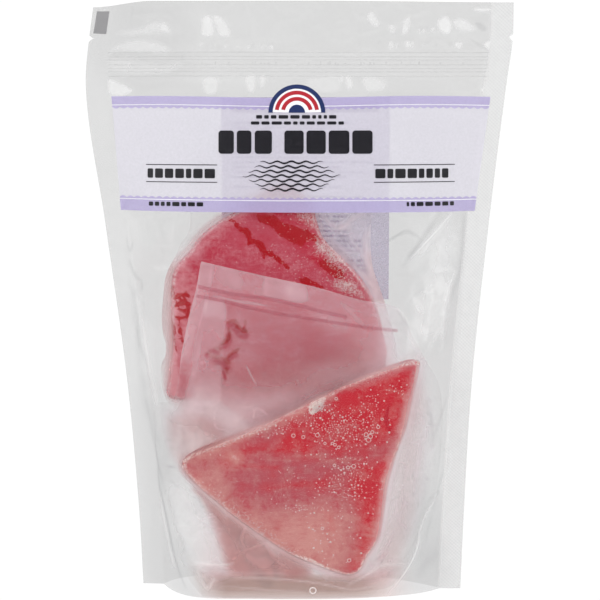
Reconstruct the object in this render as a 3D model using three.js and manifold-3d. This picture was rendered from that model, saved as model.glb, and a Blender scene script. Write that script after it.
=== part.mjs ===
import * as THREE from 'three';
import { mergeVertices } from 'three/addons/utils/BufferGeometryUtils.js';
import Module from 'manifold-3d';

// A clear stand-up pouch with raw tuna steaks sealed inside, standing on its opened bottom
// gusset. It is one shut body, so it is one solid: a thin sealed margin down each side, a flat
// header with a press-to-close zip, and a belly that the steaks push out front and back.
// Millimetres, +Z up, front towards -Y, origin in the middle of the flat base.

// Driving dimensions
const pouch = {
  height: 304.5,
  sealWidth: 11, // welded strip down each side
  weldThickness: 1.2, // both sheets of film where they are welded
  bellyTop: 262, // above this the two sheets lie together
  frontBelly: 34, // how far the front sheet stands out at the base
  frontFullness: 1.35, // a higher number keeps the sheet full further up
  backBelly: 27,
  backFullness: 2.4,
  gussetRise: 11, // how far the base arches up beside the side seals
  flatHalfLength: 42, // half of the base's flat middle
};
const zip = { bottom: 266, top: 278, ridges: 3, ridgeHeight: 1.1 };
const tearNotch = { height: 286, depth: 2.6, mouth: 3 };
const header = {
  wave: 2.2, // the flat top waves front and back by this much
  waveStart: 225,
  waveLength: 34,
  leftDrop: 3.2, // the left corner droops
  rightDrop: 0.8,
  leftCurl: 4, // and curls towards the front
  cornerReach: 30,
};
const foot = {
  leftLift: 0.8, // the left seal's foot hangs just clear of the floor
  leftReach: 26,
  leftFade: 40, // height at which the lift has died away
  rightForward: 9, // the right seal's foot stands forward
  rightReach: 64,
  rightFade: 120,
};
const steakEdge = 5; // the film slopes over a steak's rim in this width

// Distance of each side edge from the middle, as [height, distance].
const leftEdge = [[0, 82], [40, 84], [110, 90], [190, 100.5], [262, 110], [285, 108], [305, 105.5]];
const rightEdge = [[0, 83.5], [45, 85.5], [110, 89.5], [190, 97.5], [262, 106], [285, 109], [305, 109.3]];

// How square the belly's section is on each side of the middle, as [height, power].
const leftSquareness = [[0, 6.5], [60, 5.2], [110, 4.4], [170, 3], [262, 2.2], [305, 2.2]];
const rightSquareness = [[0, 2.5], [60, 3.6], [105, 4.4], [170, 3], [262, 2.2], [305, 2.2]];
const sectionEase = 0.85; // under 1 rounds the section more sharply into the seals

// Outlines, as [x, height], of what presses the film outwards, and how far. The lower steak shows
// on the front and its heel on the back; the upper steak shows on both.
const lowerSteak = {
  outline: [[-61, 67], [-56, 72], [56, 122], [61.5, 119], [41, 31], [29, 12], [14, 14]],
  relief: 2.4,
};
const upperSteak = {
  outline: [[-69, 99], [-67, 160], [-57, 177], [-33, 197], [-16, 208], [-4, 205], [40, 150], [44, 99]],
  relief: 1.5,
};
const lowerHeel = {
  outline: [[-41, 96], [-47, 60], [-34, 10], [42, 9], [50, 55], [38, 96]],
  relief: 2,
};

// Mesh counts
const bellyColumns = 30;
const bellyRows = 33;
const headerRows = 4;
const rowsPerRidge = 4;
const gussetRows = 6;
const columnGather = 0.86; // 0 spaces the columns evenly, 1 crowds them against the seals

function smoothStep(from, to, value) {
  const t = THREE.MathUtils.clamp((value - from) / (to - from), 0, 1);
  return t * t * (3 - 2 * t);
}

// A smooth curve through [height, value] pairs.
function curveThrough(pairs) {
  const heights = pairs.map(([height]) => height);
  const values = pairs.map(([, value]) => value);
  const curve = new THREE.CubicInterpolant(heights, values, 1);
  return (height) => curve.evaluate(height)[0];
}

const leftDistance = curveThrough(leftEdge);
const rightDistance = curveThrough(rightEdge);
const leftPower = curveThrough(leftSquareness);
const rightPower = curveThrough(rightSquareness);
const footLeft = leftDistance(0);
const footRight = rightDistance(0);

// Distance from a point to an outline, positive inside it.
function insideDistance(outline, x, z) {
  const point = new THREE.Vector3(x, z, 0);
  const nearest = new THREE.Vector3();
  let inside = false;
  let distance = Infinity;
  outline.forEach(([ax, az], i) => {
    const [bx, bz] = outline[(i + 1) % outline.length];
    const side = new THREE.Line3(new THREE.Vector3(ax, az, 0), new THREE.Vector3(bx, bz, 0));
    side.closestPointToPoint(point, true, nearest);
    distance = Math.min(distance, nearest.distanceTo(point));
    if (az > z !== bz > z && x < ((bx - ax) * (z - az)) / (bz - az) + ax) inside = !inside;
  });
  return inside ? distance : -distance;
}

// How far a steak lifts the film at a point.
function steakRelief(steak, x, z) {
  return steak.relief * smoothStep(-steakEdge, 1, insideDistance(steak.outline, x, z));
}

// Share of the full belly at a height: whole near the base, none at the zip.
function bellyShare(z, fullness) {
  const level = Math.min(z / pouch.bellyTop, 1);
  return (1 - level ** fullness) ** 0.9;
}

// Share of the belly across the pouch: across runs from -1 at the left seal to 1 at the right.
// The base is boxy on the left and rounder on the right, and the section evens out further up.
function sectionShare(across, z) {
  const power = across < 0 ? leftPower(z) : rightPower(z);
  return (1 - Math.abs(across) ** power) ** sectionEase;
}

function zipRidge(z) {
  if (z < zip.bottom || z > zip.top) return 0;
  const phase = ((z - zip.bottom) / (zip.top - zip.bottom)) * zip.ridges;
  return zip.ridgeHeight * Math.sin(Math.PI * (phase % 1)) ** 2;
}

// Nothing until near the header's left corner, and one at the corner itself.
function leftCornerShare(x) {
  return smoothStep(header.cornerReach - leftDistance(pouch.height), -leftDistance(pouch.height), x);
}

// The sheet that both faces lie on: it waves gently in the header, its left corner curls, and the
// right seal stands forward at its foot.
function middleDepth(x, z) {
  const waveShare = smoothStep(header.waveStart, pouch.height, z);
  const wave = header.wave * Math.sin(x / header.waveLength + 0.6) * waveShare;
  const curlShare = leftCornerShare(x) * smoothStep(pouch.bellyTop, pouch.height, z);
  const sideShare = smoothStep(footRight - foot.rightReach, footRight, x);
  const footShare = 1 - smoothStep(0, foot.rightFade, z);
  return wave - header.leftCurl * curlShare - foot.rightForward * sideShare * footShare;
}

function frontDepth(x, z, across) {
  const share = sectionShare(across, z);
  const belly = pouch.frontBelly * bellyShare(z, pouch.frontFullness) * share;
  const relief = steakRelief(lowerSteak, x, z) + steakRelief(upperSteak, x, z);
  const ridge = zipRidge(z) * (Math.abs(across) < 1 ? 1 : 0);
  return middleDepth(x, z) - pouch.weldThickness / 2 - belly - relief * share ** 0.4 - ridge;
}

function backDepth(x, z, across) {
  const share = sectionShare(across, z);
  const belly = pouch.backBelly * bellyShare(z, pouch.backFullness) * share;
  const relief = steakRelief(lowerHeel, x, z) + steakRelief(upperSteak, x, z);
  const ridge = (zipRidge(z) / 2) * (Math.abs(across) < 1 ? 1 : 0);
  return middleDepth(x, z) + pouch.weldThickness / 2 + belly + relief * share ** 0.4 + ridge;
}

// Heights of the rows, closer together where the zip's ridges are.
function rowHeights() {
  const heights = [];
  for (let i = 0; i < bellyRows; i++) heights.push((zip.bottom * i) / bellyRows);
  const zipRows = zip.ridges * rowsPerRidge;
  for (let i = 0; i <= zipRows; i++) heights.push(zip.bottom + ((zip.top - zip.bottom) * i) / zipRows);
  for (let i = 1; i <= headerRows; i++) heights.push(zip.top + ((pouch.height - zip.top) * i) / headerRows);
  return heights;
}

// Places across the pouch: the sealed margin's outer edges are at -1 and 1 with sealed set. The
// columns between gather towards the seals, where the section turns fastest.
function columnPlaces() {
  const places = [{ across: -1, sealed: true }];
  const widest = (Math.PI / 2) * columnGather;
  for (let i = 0; i <= bellyColumns; i++) {
    const angle = widest * ((2 * i) / bellyColumns - 1);
    places.push({ across: Math.sin(angle) / Math.sin(widest), sealed: false });
  }
  places.push({ across: 1, sealed: true });
  return places;
}

function placeX(place, z) {
  const left = leftDistance(z);
  const right = rightDistance(z);
  if (place.sealed) return place.across < 0 ? -left : right;
  const from = -left + pouch.sealWidth;
  const to = right - pouch.sealWidth;
  return from + ((to - from) * (place.across + 1)) / 2;
}

// The header's corners droop and the left seal's foot lifts.
function settledHeight(x, z) {
  const headerShare = smoothStep(zip.top, pouch.height, z);
  const leftDrop = header.leftDrop * leftCornerShare(x);
  const rightDrop = header.rightDrop * smoothStep(0, rightDistance(z), x);
  const sideShare = smoothStep(foot.leftReach - footLeft, -footLeft, x);
  const footShare = 1 - smoothStep(0, foot.leftFade, z);
  return z - (leftDrop + rightDrop) * headerShare + foot.leftLift * sideShare * footShare;
}

// How far the base arches up off the floor between its front foot (0) and its back foot (1).
function gussetHeight(x, depthShare) {
  const arch = smoothStep(pouch.flatHalfLength, footLeft - pouch.sealWidth, Math.abs(x));
  return pouch.gussetRise * arch * Math.sin(Math.PI * depthShare);
}

// A growing list of points and of triangles between them.
class Skin {
  positions = [];
  indices = [];

  point(x, y, z) {
    this.positions.push(x, y, z);
    return this.positions.length / 3 - 1;
  }

  at(index) {
    return this.positions.slice(index * 3, index * 3 + 3);
  }

  triangle(a, b, c) {
    this.indices.push(a, b, c);
  }

  quad(a, b, c, d) {
    this.triangle(a, b, c);
    this.triangle(a, c, d);
  }

  geometry() {
    const geometry = new THREE.BufferGeometry();
    geometry.setAttribute('position', new THREE.Float32BufferAttribute(this.positions, 3));
    geometry.setIndex(this.indices);
    return geometry;
  }
}

// One face of the pouch as rows of point indices, from the foot up.
function addSheet(skin, rows, columns, depth) {
  return rows.map((z) =>
    columns.map((place) => {
      const x = placeX(place, z);
      return skin.point(x, depth(x, z, place.across), settledHeight(x, z));
    }),
  );
}

// Both faces, the rims down the side seals and the rim along the top.
function joinSheets(skin, front, back) {
  const top = front.length - 1;
  const end = front[0].length - 1;
  for (let r = 0; r < top; r++) {
    for (let c = 0; c < end; c++) {
      skin.quad(front[r][c], front[r][c + 1], front[r + 1][c + 1], front[r + 1][c]);
      skin.quad(back[r][c + 1], back[r][c], back[r + 1][c], back[r + 1][c + 1]);
    }
    skin.quad(back[r][0], front[r][0], front[r + 1][0], back[r + 1][0]);
    skin.quad(front[r][end], back[r][end], back[r + 1][end], front[r + 1][end]);
  }
  for (let c = 0; c < end; c++) {
    skin.quad(front[top][c], front[top][c + 1], back[top][c + 1], back[top][c]);
  }
}

// Rows of points across the base from the front foot to the back foot, between the side seals.
function addGussetRows(skin, frontFoot, backFoot) {
  const gusset = [frontFoot];
  for (let g = 1; g < gussetRows; g++) {
    const share = g / gussetRows;
    const row = frontFoot.map((index, c) => {
      const [x, yFront, z] = skin.at(index);
      const yBack = skin.at(backFoot[c])[1];
      return skin.point(x, THREE.MathUtils.lerp(yFront, yBack, share), z + gussetHeight(x, share));
    });
    gusset.push(row);
  }
  gusset.push(backFoot);
  return gusset;
}

function addGusset(skin, front, back) {
  const end = front[0].length - 1;
  const gusset = addGussetRows(skin, front[0].slice(1, end), back[0].slice(1, end));
  const last = gusset[0].length - 1;
  for (let g = 0; g < gussetRows; g++) {
    for (let c = 0; c < last; c++) {
      skin.quad(gusset[g][c], gusset[g + 1][c], gusset[g + 1][c + 1], gusset[g][c + 1]);
    }
    // The foot of each side seal fans out to the gusset's end.
    skin.triangle(front[0][0], gusset[g + 1][0], gusset[g][0]);
    skin.triangle(front[0][end], gusset[g][last], gusset[g + 1][last]);
  }
  skin.triangle(front[0][0], back[0][0], back[0][1]);
  skin.triangle(front[0][end], back[0][end - 1], back[0][end]);
}

function pouchGeometry() {
  const skin = new Skin();
  const rows = rowHeights();
  const columns = columnPlaces();
  const front = addSheet(skin, rows, columns, frontDepth);
  const back = addSheet(skin, rows, columns, backDepth);
  joinSheets(skin, front, back);
  addGusset(skin, front, back);
  return skin.geometry();
}

const wasm = await Module();
wasm.setup();

function solidFrom(geometry) {
  const bare = geometry.clone();
  bare.deleteAttribute('normal');
  bare.deleteAttribute('uv');
  const merged = mergeVertices(bare, 1e-3);
  return new wasm.Manifold(
    new wasm.Mesh({
      numProp: 3,
      vertProperties: merged.attributes.position.array,
      triVerts: new Uint32Array(merged.index.array),
    }),
  );
}

function geometryFrom(solid) {
  const mesh = solid.getMesh();
  const geometry = new THREE.BufferGeometry();
  geometry.setAttribute('position', new THREE.Float32BufferAttribute(mesh.vertProperties, 3));
  geometry.setIndex(new THREE.BufferAttribute(mesh.triVerts, 1));
  geometry.computeVertexNormals();
  return geometry;
}

// A three-sided wedge that opens outwards, pushed through the sealed margin from front to back.
function notchCutter(edgeX, outward) {
  const overshoot = 4; // how far the wedge starts outside the edge
  const halfMouth = (tearNotch.mouth / 2) * (1 + overshoot / tearNotch.depth);
  const shape = new THREE.Shape();
  shape.moveTo(-tearNotch.depth * outward, 0);
  shape.lineTo(overshoot * outward, halfMouth);
  shape.lineTo(overshoot * outward, -halfMouth);
  shape.closePath();
  const throughLength = 60;
  const cutter = new THREE.ExtrudeGeometry(shape, { depth: throughLength, bevelEnabled: false });
  cutter.rotateX(Math.PI / 2);
  cutter.translate(edgeX, throughLength / 2, tearNotch.height);
  return cutter;
}

function notchedPouch() {
  const left = solidFrom(notchCutter(-leftDistance(tearNotch.height), -1));
  const right = solidFrom(notchCutter(rightDistance(tearNotch.height), 1));
  return geometryFrom(solidFrom(pouchGeometry()).subtract(left).subtract(right));
}

const film = new THREE.MeshStandardMaterial({ color: 0xd9c9cb, roughness: 0.25, metalness: 0 });
const pouchMesh = new THREE.Mesh(notchedPouch(), film);
pouchMesh.name = 'pouch';

const part = new THREE.Group();
part.add(pouchMesh);

export default part;
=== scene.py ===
# A clear stand-up pouch with two frozen raw tuna steaks, each in a thin zip bag of its own.
# Places and sizes are in millimetres, and become metres where a mesh is made.

import math
from functools import partial

import bpy
import numpy as np
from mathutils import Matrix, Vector


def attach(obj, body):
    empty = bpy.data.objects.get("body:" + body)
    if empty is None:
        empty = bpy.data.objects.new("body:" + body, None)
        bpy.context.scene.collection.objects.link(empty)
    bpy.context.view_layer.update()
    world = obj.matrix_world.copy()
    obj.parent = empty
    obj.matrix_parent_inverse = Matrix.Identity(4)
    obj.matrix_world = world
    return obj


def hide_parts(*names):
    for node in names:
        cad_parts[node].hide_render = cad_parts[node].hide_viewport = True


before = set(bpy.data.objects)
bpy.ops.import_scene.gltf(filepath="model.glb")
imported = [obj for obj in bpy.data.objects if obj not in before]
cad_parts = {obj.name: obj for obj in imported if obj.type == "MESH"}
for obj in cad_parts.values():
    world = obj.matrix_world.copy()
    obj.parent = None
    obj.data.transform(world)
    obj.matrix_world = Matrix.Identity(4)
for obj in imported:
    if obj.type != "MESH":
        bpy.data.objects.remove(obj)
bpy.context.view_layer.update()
mm = 0.001


# Camera, light and floor.
view = {
    "distance": 1600,
    "elevation": 7,        # degrees above the horizon
    "aimHeight": 150.2,
    "focalPixels": 3090,   # focal length in pixels of a frame 600 wide
    "frameWidth": 600,
    "sensorWidth": 36,
}


def makeCamera():
    data = bpy.data.cameras.new("camera")
    data.sensor_width = view["sensorWidth"]
    data.lens = view["focalPixels"] * view["sensorWidth"] / view["frameWidth"]
    data.clip_end = 20
    camera = bpy.data.objects.new("camera", data)
    tilt = math.radians(view["elevation"])
    away = view["distance"] * mm
    camera.location = (0, -away * math.cos(tilt), view["aimHeight"] * mm + away * math.sin(tilt))
    camera.rotation_euler = (math.radians(90) - tilt, 0, 0)
    bpy.context.scene.collection.objects.link(camera)
    bpy.context.scene.camera = camera


# Soft boxes: where each stands, its size and its power in watts. All face the pouch's middle.
softBoxes = {
    "leftBox": {"place": (-1050, -1000, 650), "size": (500, 800), "power": 5.0},
    "rightBox": {"place": (1100, -900, 500), "size": (450, 800), "power": 4.4},
    "topBox": {"place": (100, -650, 1500), "size": (1100, 600), "power": 4.8},
    "lowBox": {"place": (-350, -1350, -80), "size": (900, 260), "power": 2.4},
}
lightAim = (0, 0, 150)
# The room: a white backdrop all round behind the pouch, and softer, darker space in front of it.
surround = {"seenWhite": 1.03, "backdropWhite": 0.95, "frontWhite": 0.6, "frontMirrored": 0.08}


def makeLights():
    for name, box in softBoxes.items():
        data = bpy.data.lights.new(name, "AREA")
        data.shape = "RECTANGLE"
        data.size, data.size_y = box["size"][0] * mm, box["size"][1] * mm
        data.energy = box["power"]
        light = bpy.data.objects.new(name, data)
        light.location = [v * mm for v in box["place"]]
        target = np.array(lightAim) - np.array(box["place"])
        light.rotation_euler = Vector(target).to_track_quat("-Z", "Y").to_euler()
        light.visible_camera = False
        bpy.context.scene.collection.objects.link(light)


def addNode(tree, kind, inputs=(), **settings):
    # One node, its settings, and its inputs: plain values or links. A node given as an input stands
    # for its first output.
    node = tree.nodes.new("ShaderNode" + kind)
    for name, value in settings.items():
        setattr(node, name, value)
    for key, value in dict(inputs).items():
        if isinstance(value, bpy.types.Node):
            value = value.outputs[0]
        if isinstance(value, bpy.types.NodeSocket):
            tree.links.new(value, node.inputs[key])
        else:
            node.inputs[key].default_value = value
    return node


def makeSurround():
    world = bpy.data.worlds.new("surround")
    world.use_nodes = True
    tree = world.node_tree
    tree.nodes.clear()
    path = addNode(tree, "LightPath")
    split = addNode(tree, "SeparateXYZ", {0: addNode(tree, "TexCoord")})
    behind = addNode(tree, "MapRange", {"Value": split.outputs["Y"], "From Min": -0.45, "From Max": 0.35},
                     interpolation_type="SMOOTHSTEP")
    front = addNode(tree, "Mix", {"Factor": path.outputs["Is Glossy Ray"], 2: surround["frontWhite"],
                                  3: surround["frontMirrored"]})
    level = addNode(tree, "Mix", {"Factor": behind, 2: front, 3: surround["backdropWhite"]})
    seen = addNode(tree, "Mix", {"Factor": path, 2: level, 3: surround["seenWhite"]})
    light = addNode(tree, "Background", {"Color": (1, 1, 1, 1), "Strength": seen})
    addNode(tree, "OutputWorld", {"Surface": light})
    bpy.context.scene.world = world


makeCamera()
makeLights()
makeSurround()
bpy.context.scene.view_settings.view_transform = "Standard"
bpy.context.scene.cycles.transparent_max_bounces = 48
bpy.context.scene.cycles.max_bounces = 10
print("camera and lights made")


# Shared shape helpers.
def smoothStep(low, high, value):
    t = np.clip((value - low) / (high - low), 0, 1)
    return t * t * (3 - 2 * t)


def hermite(t, span, start, startSlope, end, endSlope):
    # A cubic from start to end with given slopes, t running from 0 to 1 over the span.
    return ((2 * t**3 - 3 * t**2 + 1) * start + (t**3 - 2 * t**2 + t) * span * startSlope
            + (3 * t**2 - 2 * t**3) * end + (t**3 - t**2) * span * endSlope)


def heightCurve(pairs):
    # A smooth curve through (height, distance) pairs, its slope the mean of its neighbours'.
    heights, distances = np.array(pairs, float).T
    steps = np.diff(distances) / np.diff(heights)
    slopes = np.concatenate([steps[:1], (steps[1:] + steps[:-1]) / 2, steps[-1:]])

    def at(z):
        z = np.clip(z, heights[0], heights[-1])
        i = np.clip(np.searchsorted(heights, z, side="right") - 1, 0, len(heights) - 2)
        span = heights[i + 1] - heights[i]
        t = (z - heights[i]) / span
        return hermite(t, span, distances[i], slopes[i], distances[i + 1], slopes[i + 1])

    return at


def smoothPath(points, spacing, closed=False):
    # Points evenly spaced along a smooth line through the given ones.
    points = np.array(points, float)
    if closed:
        padded = np.vstack([points[-1:], points, points[:2]])
    else:
        padded = np.vstack([2 * points[0] - points[1], points, 2 * points[-1] - points[-2]])
    dense = []
    for i in range(len(padded) - 3):
        a, b, c, d = padded[i:i + 4]
        gaps = [max(np.linalg.norm(q - p), 1e-6) ** 0.5 for p, q in ((a, b), (b, c), (c, d))]
        slopeB = (b - a) / gaps[0] - (c - a) / (gaps[0] + gaps[1]) + (c - b) / gaps[1]
        slopeC = (c - b) / gaps[1] - (d - b) / (gaps[1] + gaps[2]) + (d - c) / gaps[2]
        dense += [hermite(t, gaps[1], b, slopeB, c, slopeC) for t in np.linspace(0, 1, 16, endpoint=False)]
    dense.append(padded[-2])
    dense = np.array(dense)
    run = np.concatenate([[0], np.cumsum(np.linalg.norm(np.diff(dense, axis=0), axis=1))])
    at = np.linspace(0, run[-1], max(int(round(run[-1] / spacing)), 2) + 1)
    if closed:
        at = at[:-1]
    return np.column_stack([np.interp(at, run, dense[:, 0]), np.interp(at, run, dense[:, 1])])


def segmentGap(x, z, start, end):
    # Squared distance to a straight piece, and how far along it the nearest point is.
    (ax, az), (bx, bz) = start, end
    dx, dz = bx - ax, bz - az
    t = np.clip(((x - ax) * dx + (z - az) * dz) / (dx * dx + dz * dz), 0, 1)
    return (x - ax - t * dx) ** 2 + (z - az - t * dz) ** 2, t


def insideDistance(outline, x, z):
    # Distance to a closed outline, positive inside it.
    best = np.full(np.shape(x), 1e9)
    inside = np.zeros(np.shape(x), bool)
    for (ax, az), (bx, bz) in zip(outline, np.roll(outline, -1, axis=0)):
        best = np.minimum(best, segmentGap(x, z, (ax, az), (bx, bz))[0])
        if az != bz:
            inside ^= ((az > z) != (bz > z)) & (x < (bx - ax) * (z - az) / (bz - az) + ax)
    return np.where(inside, 1, -1) * np.sqrt(best)


def pathDistance(path, x, z):
    # Distance to an open line, and how far along it, from 0 to 1.
    best = np.full(np.shape(x), 1e9)
    along = np.zeros(np.shape(x))
    for i in range(len(path) - 1):
        gap, t = segmentGap(x, z, path[i], path[i + 1])
        nearer = gap < best
        best = np.where(nearer, gap, best)
        along = np.where(nearer, (i + t) / (len(path) - 1), along)
    return np.sqrt(best), along


def nearMask(points, x, z, reach):
    low, high = np.min(points, axis=0) - reach, np.max(points, axis=0) + reach
    return (x > low[0]) & (x < high[0]) & (z > low[1]) & (z < high[1])


# Rows of the drawn tables. Lines and outlines are (x, height) points.
# A crease's haze is partly stress-whitening and partly painted highlight; its shade is painted shade.
def crease(line, width, rise, haze, shade=0):
    return {"line": line, "width": width, "rise": rise, "haze": haze, "shade": shade}


def streak(line, width, strength):
    return {"line": line, "width": width, "strength": strength}


def area(outline, soft, strength):
    return {"outline": outline, "soft": soft, "strength": strength}


def areaShare(x, z, areas, warp=0.0, seed=0):
    # The sum of drawn areas: each an outline, its softness at the edge and its strength.
    total = np.zeros(np.shape(x))
    if warp:
        x, z = warped(x, z, seed, warp)
    for shape in areas:
        outline = smoothPath(shape["outline"], 2.0, closed=True)
        near = nearMask(outline, x, z, 1.5 * shape["soft"])
        if near.any():
            away = insideDistance(outline, x[near], z[near])
            total[near] += shape["strength"] * smoothStep(-shape["soft"], shape["soft"], away)
    return total


def warped(x, z, seed, amount):
    # Shifts places by noise, so that patches get natural edges.
    shiftX = layeredNoise(x, z, 11, seed) * amount
    shiftZ = layeredNoise(x, z, 11, seed + 7) * amount
    return x + shiftX, z + shiftZ


def softNoise(x, z, size, seed):
    # Smooth noise from -1 to 1, with bumps about size across.
    table = np.random.default_rng(seed).uniform(-1, 1, (128, 128))
    u, v = x / size + 500.37, z / size + 500.71
    i, j = np.floor(u).astype(int), np.floor(v).astype(int)
    fu, fv = u - i, v - j
    fu, fv = fu * fu * (3 - 2 * fu), fv * fv * (3 - 2 * fv)
    i, j, iNext, jNext = i % 128, j % 128, (i + 1) % 128, (j + 1) % 128
    low = table[i, j] * (1 - fu) + table[iNext, j] * fu
    high = table[i, jNext] * (1 - fu) + table[iNext, jNext] * fu
    return low * (1 - fv) + high * fv


def layeredNoise(x, z, size, seed, layers=3):
    total, weight = 0, 0
    for i in range(layers):
        total = total + softNoise(x, z, size / 2**i, seed + i) / 1.8**i
        weight += 1 / 1.8**i
    return total / weight


def sharpFolds(x, z, size, seed):
    # Crumpled film: flat facets that meet in sharp ridges, from 0 to 1.
    first = 1 - np.abs(softNoise(x, z, size, seed)) * 1.6
    second = 1 - np.abs(softNoise(x + 0.6 * z, z - 0.5 * x, size * 0.62, seed + 1)) * 1.6
    return np.clip(np.maximum(first, 0.8 * second), 0, 1) ** 2


def toLinear(hexColour):
    # An sRGB hex colour as linear red, green, blue and a full alpha.
    parts = [int(hexColour[i:i + 2], 16) / 255 for i in (1, 3, 5)]
    return [v / 12.92 if v <= 0.04045 else ((v + 0.055) / 1.055) ** 2.4 for v in parts] + [1]


def gridFaces(rows, columns, closed=False):
    index = np.arange(rows * columns).reshape(rows, columns)
    here = index if closed else index[:, :-1]
    beside = np.roll(index, -1, axis=1) if closed else index[:, 1:]
    quads = np.stack([here[:-1], beside[:-1], beside[1:], here[1:]], axis=-1)
    return quads.reshape(-1, 4).tolist()


def joined(grids):
    # Several grids of (x, depth, height) points as one mesh's points and faces.
    points, faces, start = [], [], 0
    for grid in grids:
        points.append(grid.reshape(-1, 3))
        faces += [[index + start for index in quad] for quad in gridFaces(*grid.shape[:2])]
        start += len(points[-1])
    return np.concatenate(points), faces


def makePiece(name, points, faces, material, slotName, marks=None, smooth=True):
    # A mesh piece from points in millimetres. marks are named numbers, one for each point.
    mesh = bpy.data.meshes.new(name)
    mesh.from_pydata((np.asarray(points, float).reshape(-1, 3) * mm).tolist(), [], faces)
    mesh.materials.append(material)
    if smooth:
        mesh.shade_smooth()
    for mark, values in (marks or {}).items():
        layer = mesh.attributes.new(mark, "FLOAT", "POINT")
        layer.data.foreach_set("value", np.ravel(values).astype(np.float32))
    mesh.validate()
    piece = bpy.data.objects.new(name, mesh)
    bpy.context.scene.collection.objects.link(piece)
    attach(piece, "root")
    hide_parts("pouch")


# The steaks' shapes.
# A steak is a sawn slab: its outline as (x, height), its front face as a tilted plane, its
# thickness, the width of the rounded rim and how much smaller the back is all round.
frontSteak = {
    "outline": [(-60.2, 65.8), (-59.9, 70.6), (-57.4, 72.8), (-43.4, 78.9), (-25.5, 86.4), (-10.2, 93.2),
        (5.1, 100.7), (25.5, 110.2), (38.2, 115.6), (50.9, 119.8), (58.6, 121.8), (61.2, 121.0),
        (61.0, 117.6), (57.9, 102.8), (54.4, 87.3), (50.6, 77.0), (47.3, 66.6), (44.9, 56.3), (43.2, 44.6),
        (41.2, 32.9), (39.2, 27.7), (35.2, 21.6), (31.4, 14.6), (26.6, 11.6), (18.0, 12.9), (7.7, 16.8),
        (-2.6, 21.0), (-12.8, 26.8), (-23.0, 33.7), (-33.3, 41.0), (-43.5, 49.6), (-53.7, 58.2)],
    "middle": (10, 66), "face": -33.2, "faceHeight": 12, "lean": 0.092, "turn": -0.012,
    "thickness": 22, "rim": 1.6, "taper": 2.9, "relief": 0.22, "seed": 11,
}
rearSteak = {
    "outline": [(-68.6, 99.3), (-68.4, 110), (-66.8, 123.3), (-66.9, 147.2), (-66.3, 161), (-63.3, 169.5),
        (-57.4, 175.8), (-51.5, 183.7), (-40.6, 192.6), (-32.8, 197), (-23, 205), (-13, 210), (-5, 210),
        (2, 205.5), (7, 197.5), (11.4, 184), (21.2, 173.3), (31.1, 162.5), (39, 148.6), (43, 133.2),
        (45, 122.3), (43, 107), (34, 86), (15, 66), (-10, 70), (-42, 95)],
    "middle": (-12, 140), "face": -0.4, "faceHeight": 120, "lean": -0.105, "turn": 0.01,
    "thickness": 22, "rim": 2.0, "taper": 2.4, "relief": 0.22, "seed": 23,
}
for steak in (frontSteak, rearSteak):
    steak["line"] = smoothPath(steak["outline"], 1.0, closed=True)
    steak["coarseLine"] = steak["line"][::3]


def facePlane(steak, x, z):
    return steak["face"] + steak["lean"] * (z - steak["faceHeight"]) + steak["turn"] * x


def rimDrop(steak, depthInside):
    # How far the face falls back near the rim, a quarter round.
    share = np.clip(depthInside / steak["rim"], 0, 1)
    return steak["rim"] * (1 - np.sqrt(np.clip(1 - (1 - share) ** 2, 0, 1)))


def faceRelief(steak, x, z):
    broad = softNoise(x, z, 24, steak["seed"]) * 0.7
    fine = layeredNoise(x, z, 7, steak["seed"] + 3) * 0.22
    return steak["relief"] * (broad + fine)


# The pouch's form.
pouch = {
    "height": 304.5, "sealWidth": 11, "weldHalf": 0.3, "bellyTop": 262,
    "frontBelly": 34, "frontFullness": 1.35, "backBelly": 27, "backFullness": 2.4,
    "notchHeight": 286, "notchDepth": 2.6, "notchMouth": 3,
}
zipBand = {"bottom": 265.7, "top": 277.9, "ridges": 3, "rise": 0.9}
header = {"wave": 2.2, "waveStart": 225, "waveLength": 34, "leftDrop": 3.2, "rightDrop": 0.8,
          "leftCurl": 4, "cornerReach": 30}
foot = {"leftLift": 0.8, "leftReach": 26, "leftFade": 40, "rightForward": 9, "rightReach": 64,
        "rightFade": 120}
leftDistance = heightCurve([(0, 82), (40, 84), (110, 90), (190, 100.5), (262, 110), (285, 108),
                            (305, 105.5)])
rightDistance = heightCurve([(0, 83.5), (45, 85.5), (110, 89.5), (190, 97.5), (262, 106), (285, 109),
                             (305, 109.3)])
footLeft, footRight = float(leftDistance(0)), float(rightDistance(0))
# How square the section is at each height, left and right of the middle.
leftSquareness = heightCurve([(0, 6.5), (60, 5.2), (110, 4.4), (170, 3.0), (262, 2.2)])
rightSquareness = heightCurve([(0, 2.5), (60, 3.6), (105, 4.4), (170, 3.0), (262, 2.2)])


def leftCornerShare(x):
    edge = -float(leftDistance(pouch["height"]))
    return smoothStep(edge + header["cornerReach"], edge, x)


def middleDepth(x, z):
    wave = header["wave"] * np.sin(x / header["waveLength"] + 0.6)
    wave = wave * smoothStep(header["waveStart"], pouch["height"], z)
    curl = header["leftCurl"] * leftCornerShare(x) * smoothStep(pouch["bellyTop"], pouch["height"], z)
    side = smoothStep(footRight - foot["rightReach"], footRight, x)
    return wave - curl - foot["rightForward"] * side * (1 - smoothStep(0, foot["rightFade"], z))


def settledHeight(x, z):
    drop = header["leftDrop"] * leftCornerShare(x)
    drop = drop + header["rightDrop"] * smoothStep(0, rightDistance(z), x)
    lift = smoothStep(foot["leftReach"] - footLeft, -footLeft, x) * (1 - smoothStep(0, foot["leftFade"], z))
    return z - drop * smoothStep(zipBand["top"], pouch["height"], z) + foot["leftLift"] * lift


def acrossShare(x, z):
    # -1 at the left seal's inner edge, 1 at the right one's.
    low = pouch["sealWidth"] - leftDistance(z)
    high = rightDistance(z) - pouch["sealWidth"]
    return np.clip(2 * (x - low) / (high - low) - 1, -1, 1)


def sectionShare(x, z):
    across = acrossShare(x, z)
    power = np.where(across < 0, leftSquareness(z), rightSquareness(z))
    return (1 - np.abs(across) ** power) ** 0.85


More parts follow.
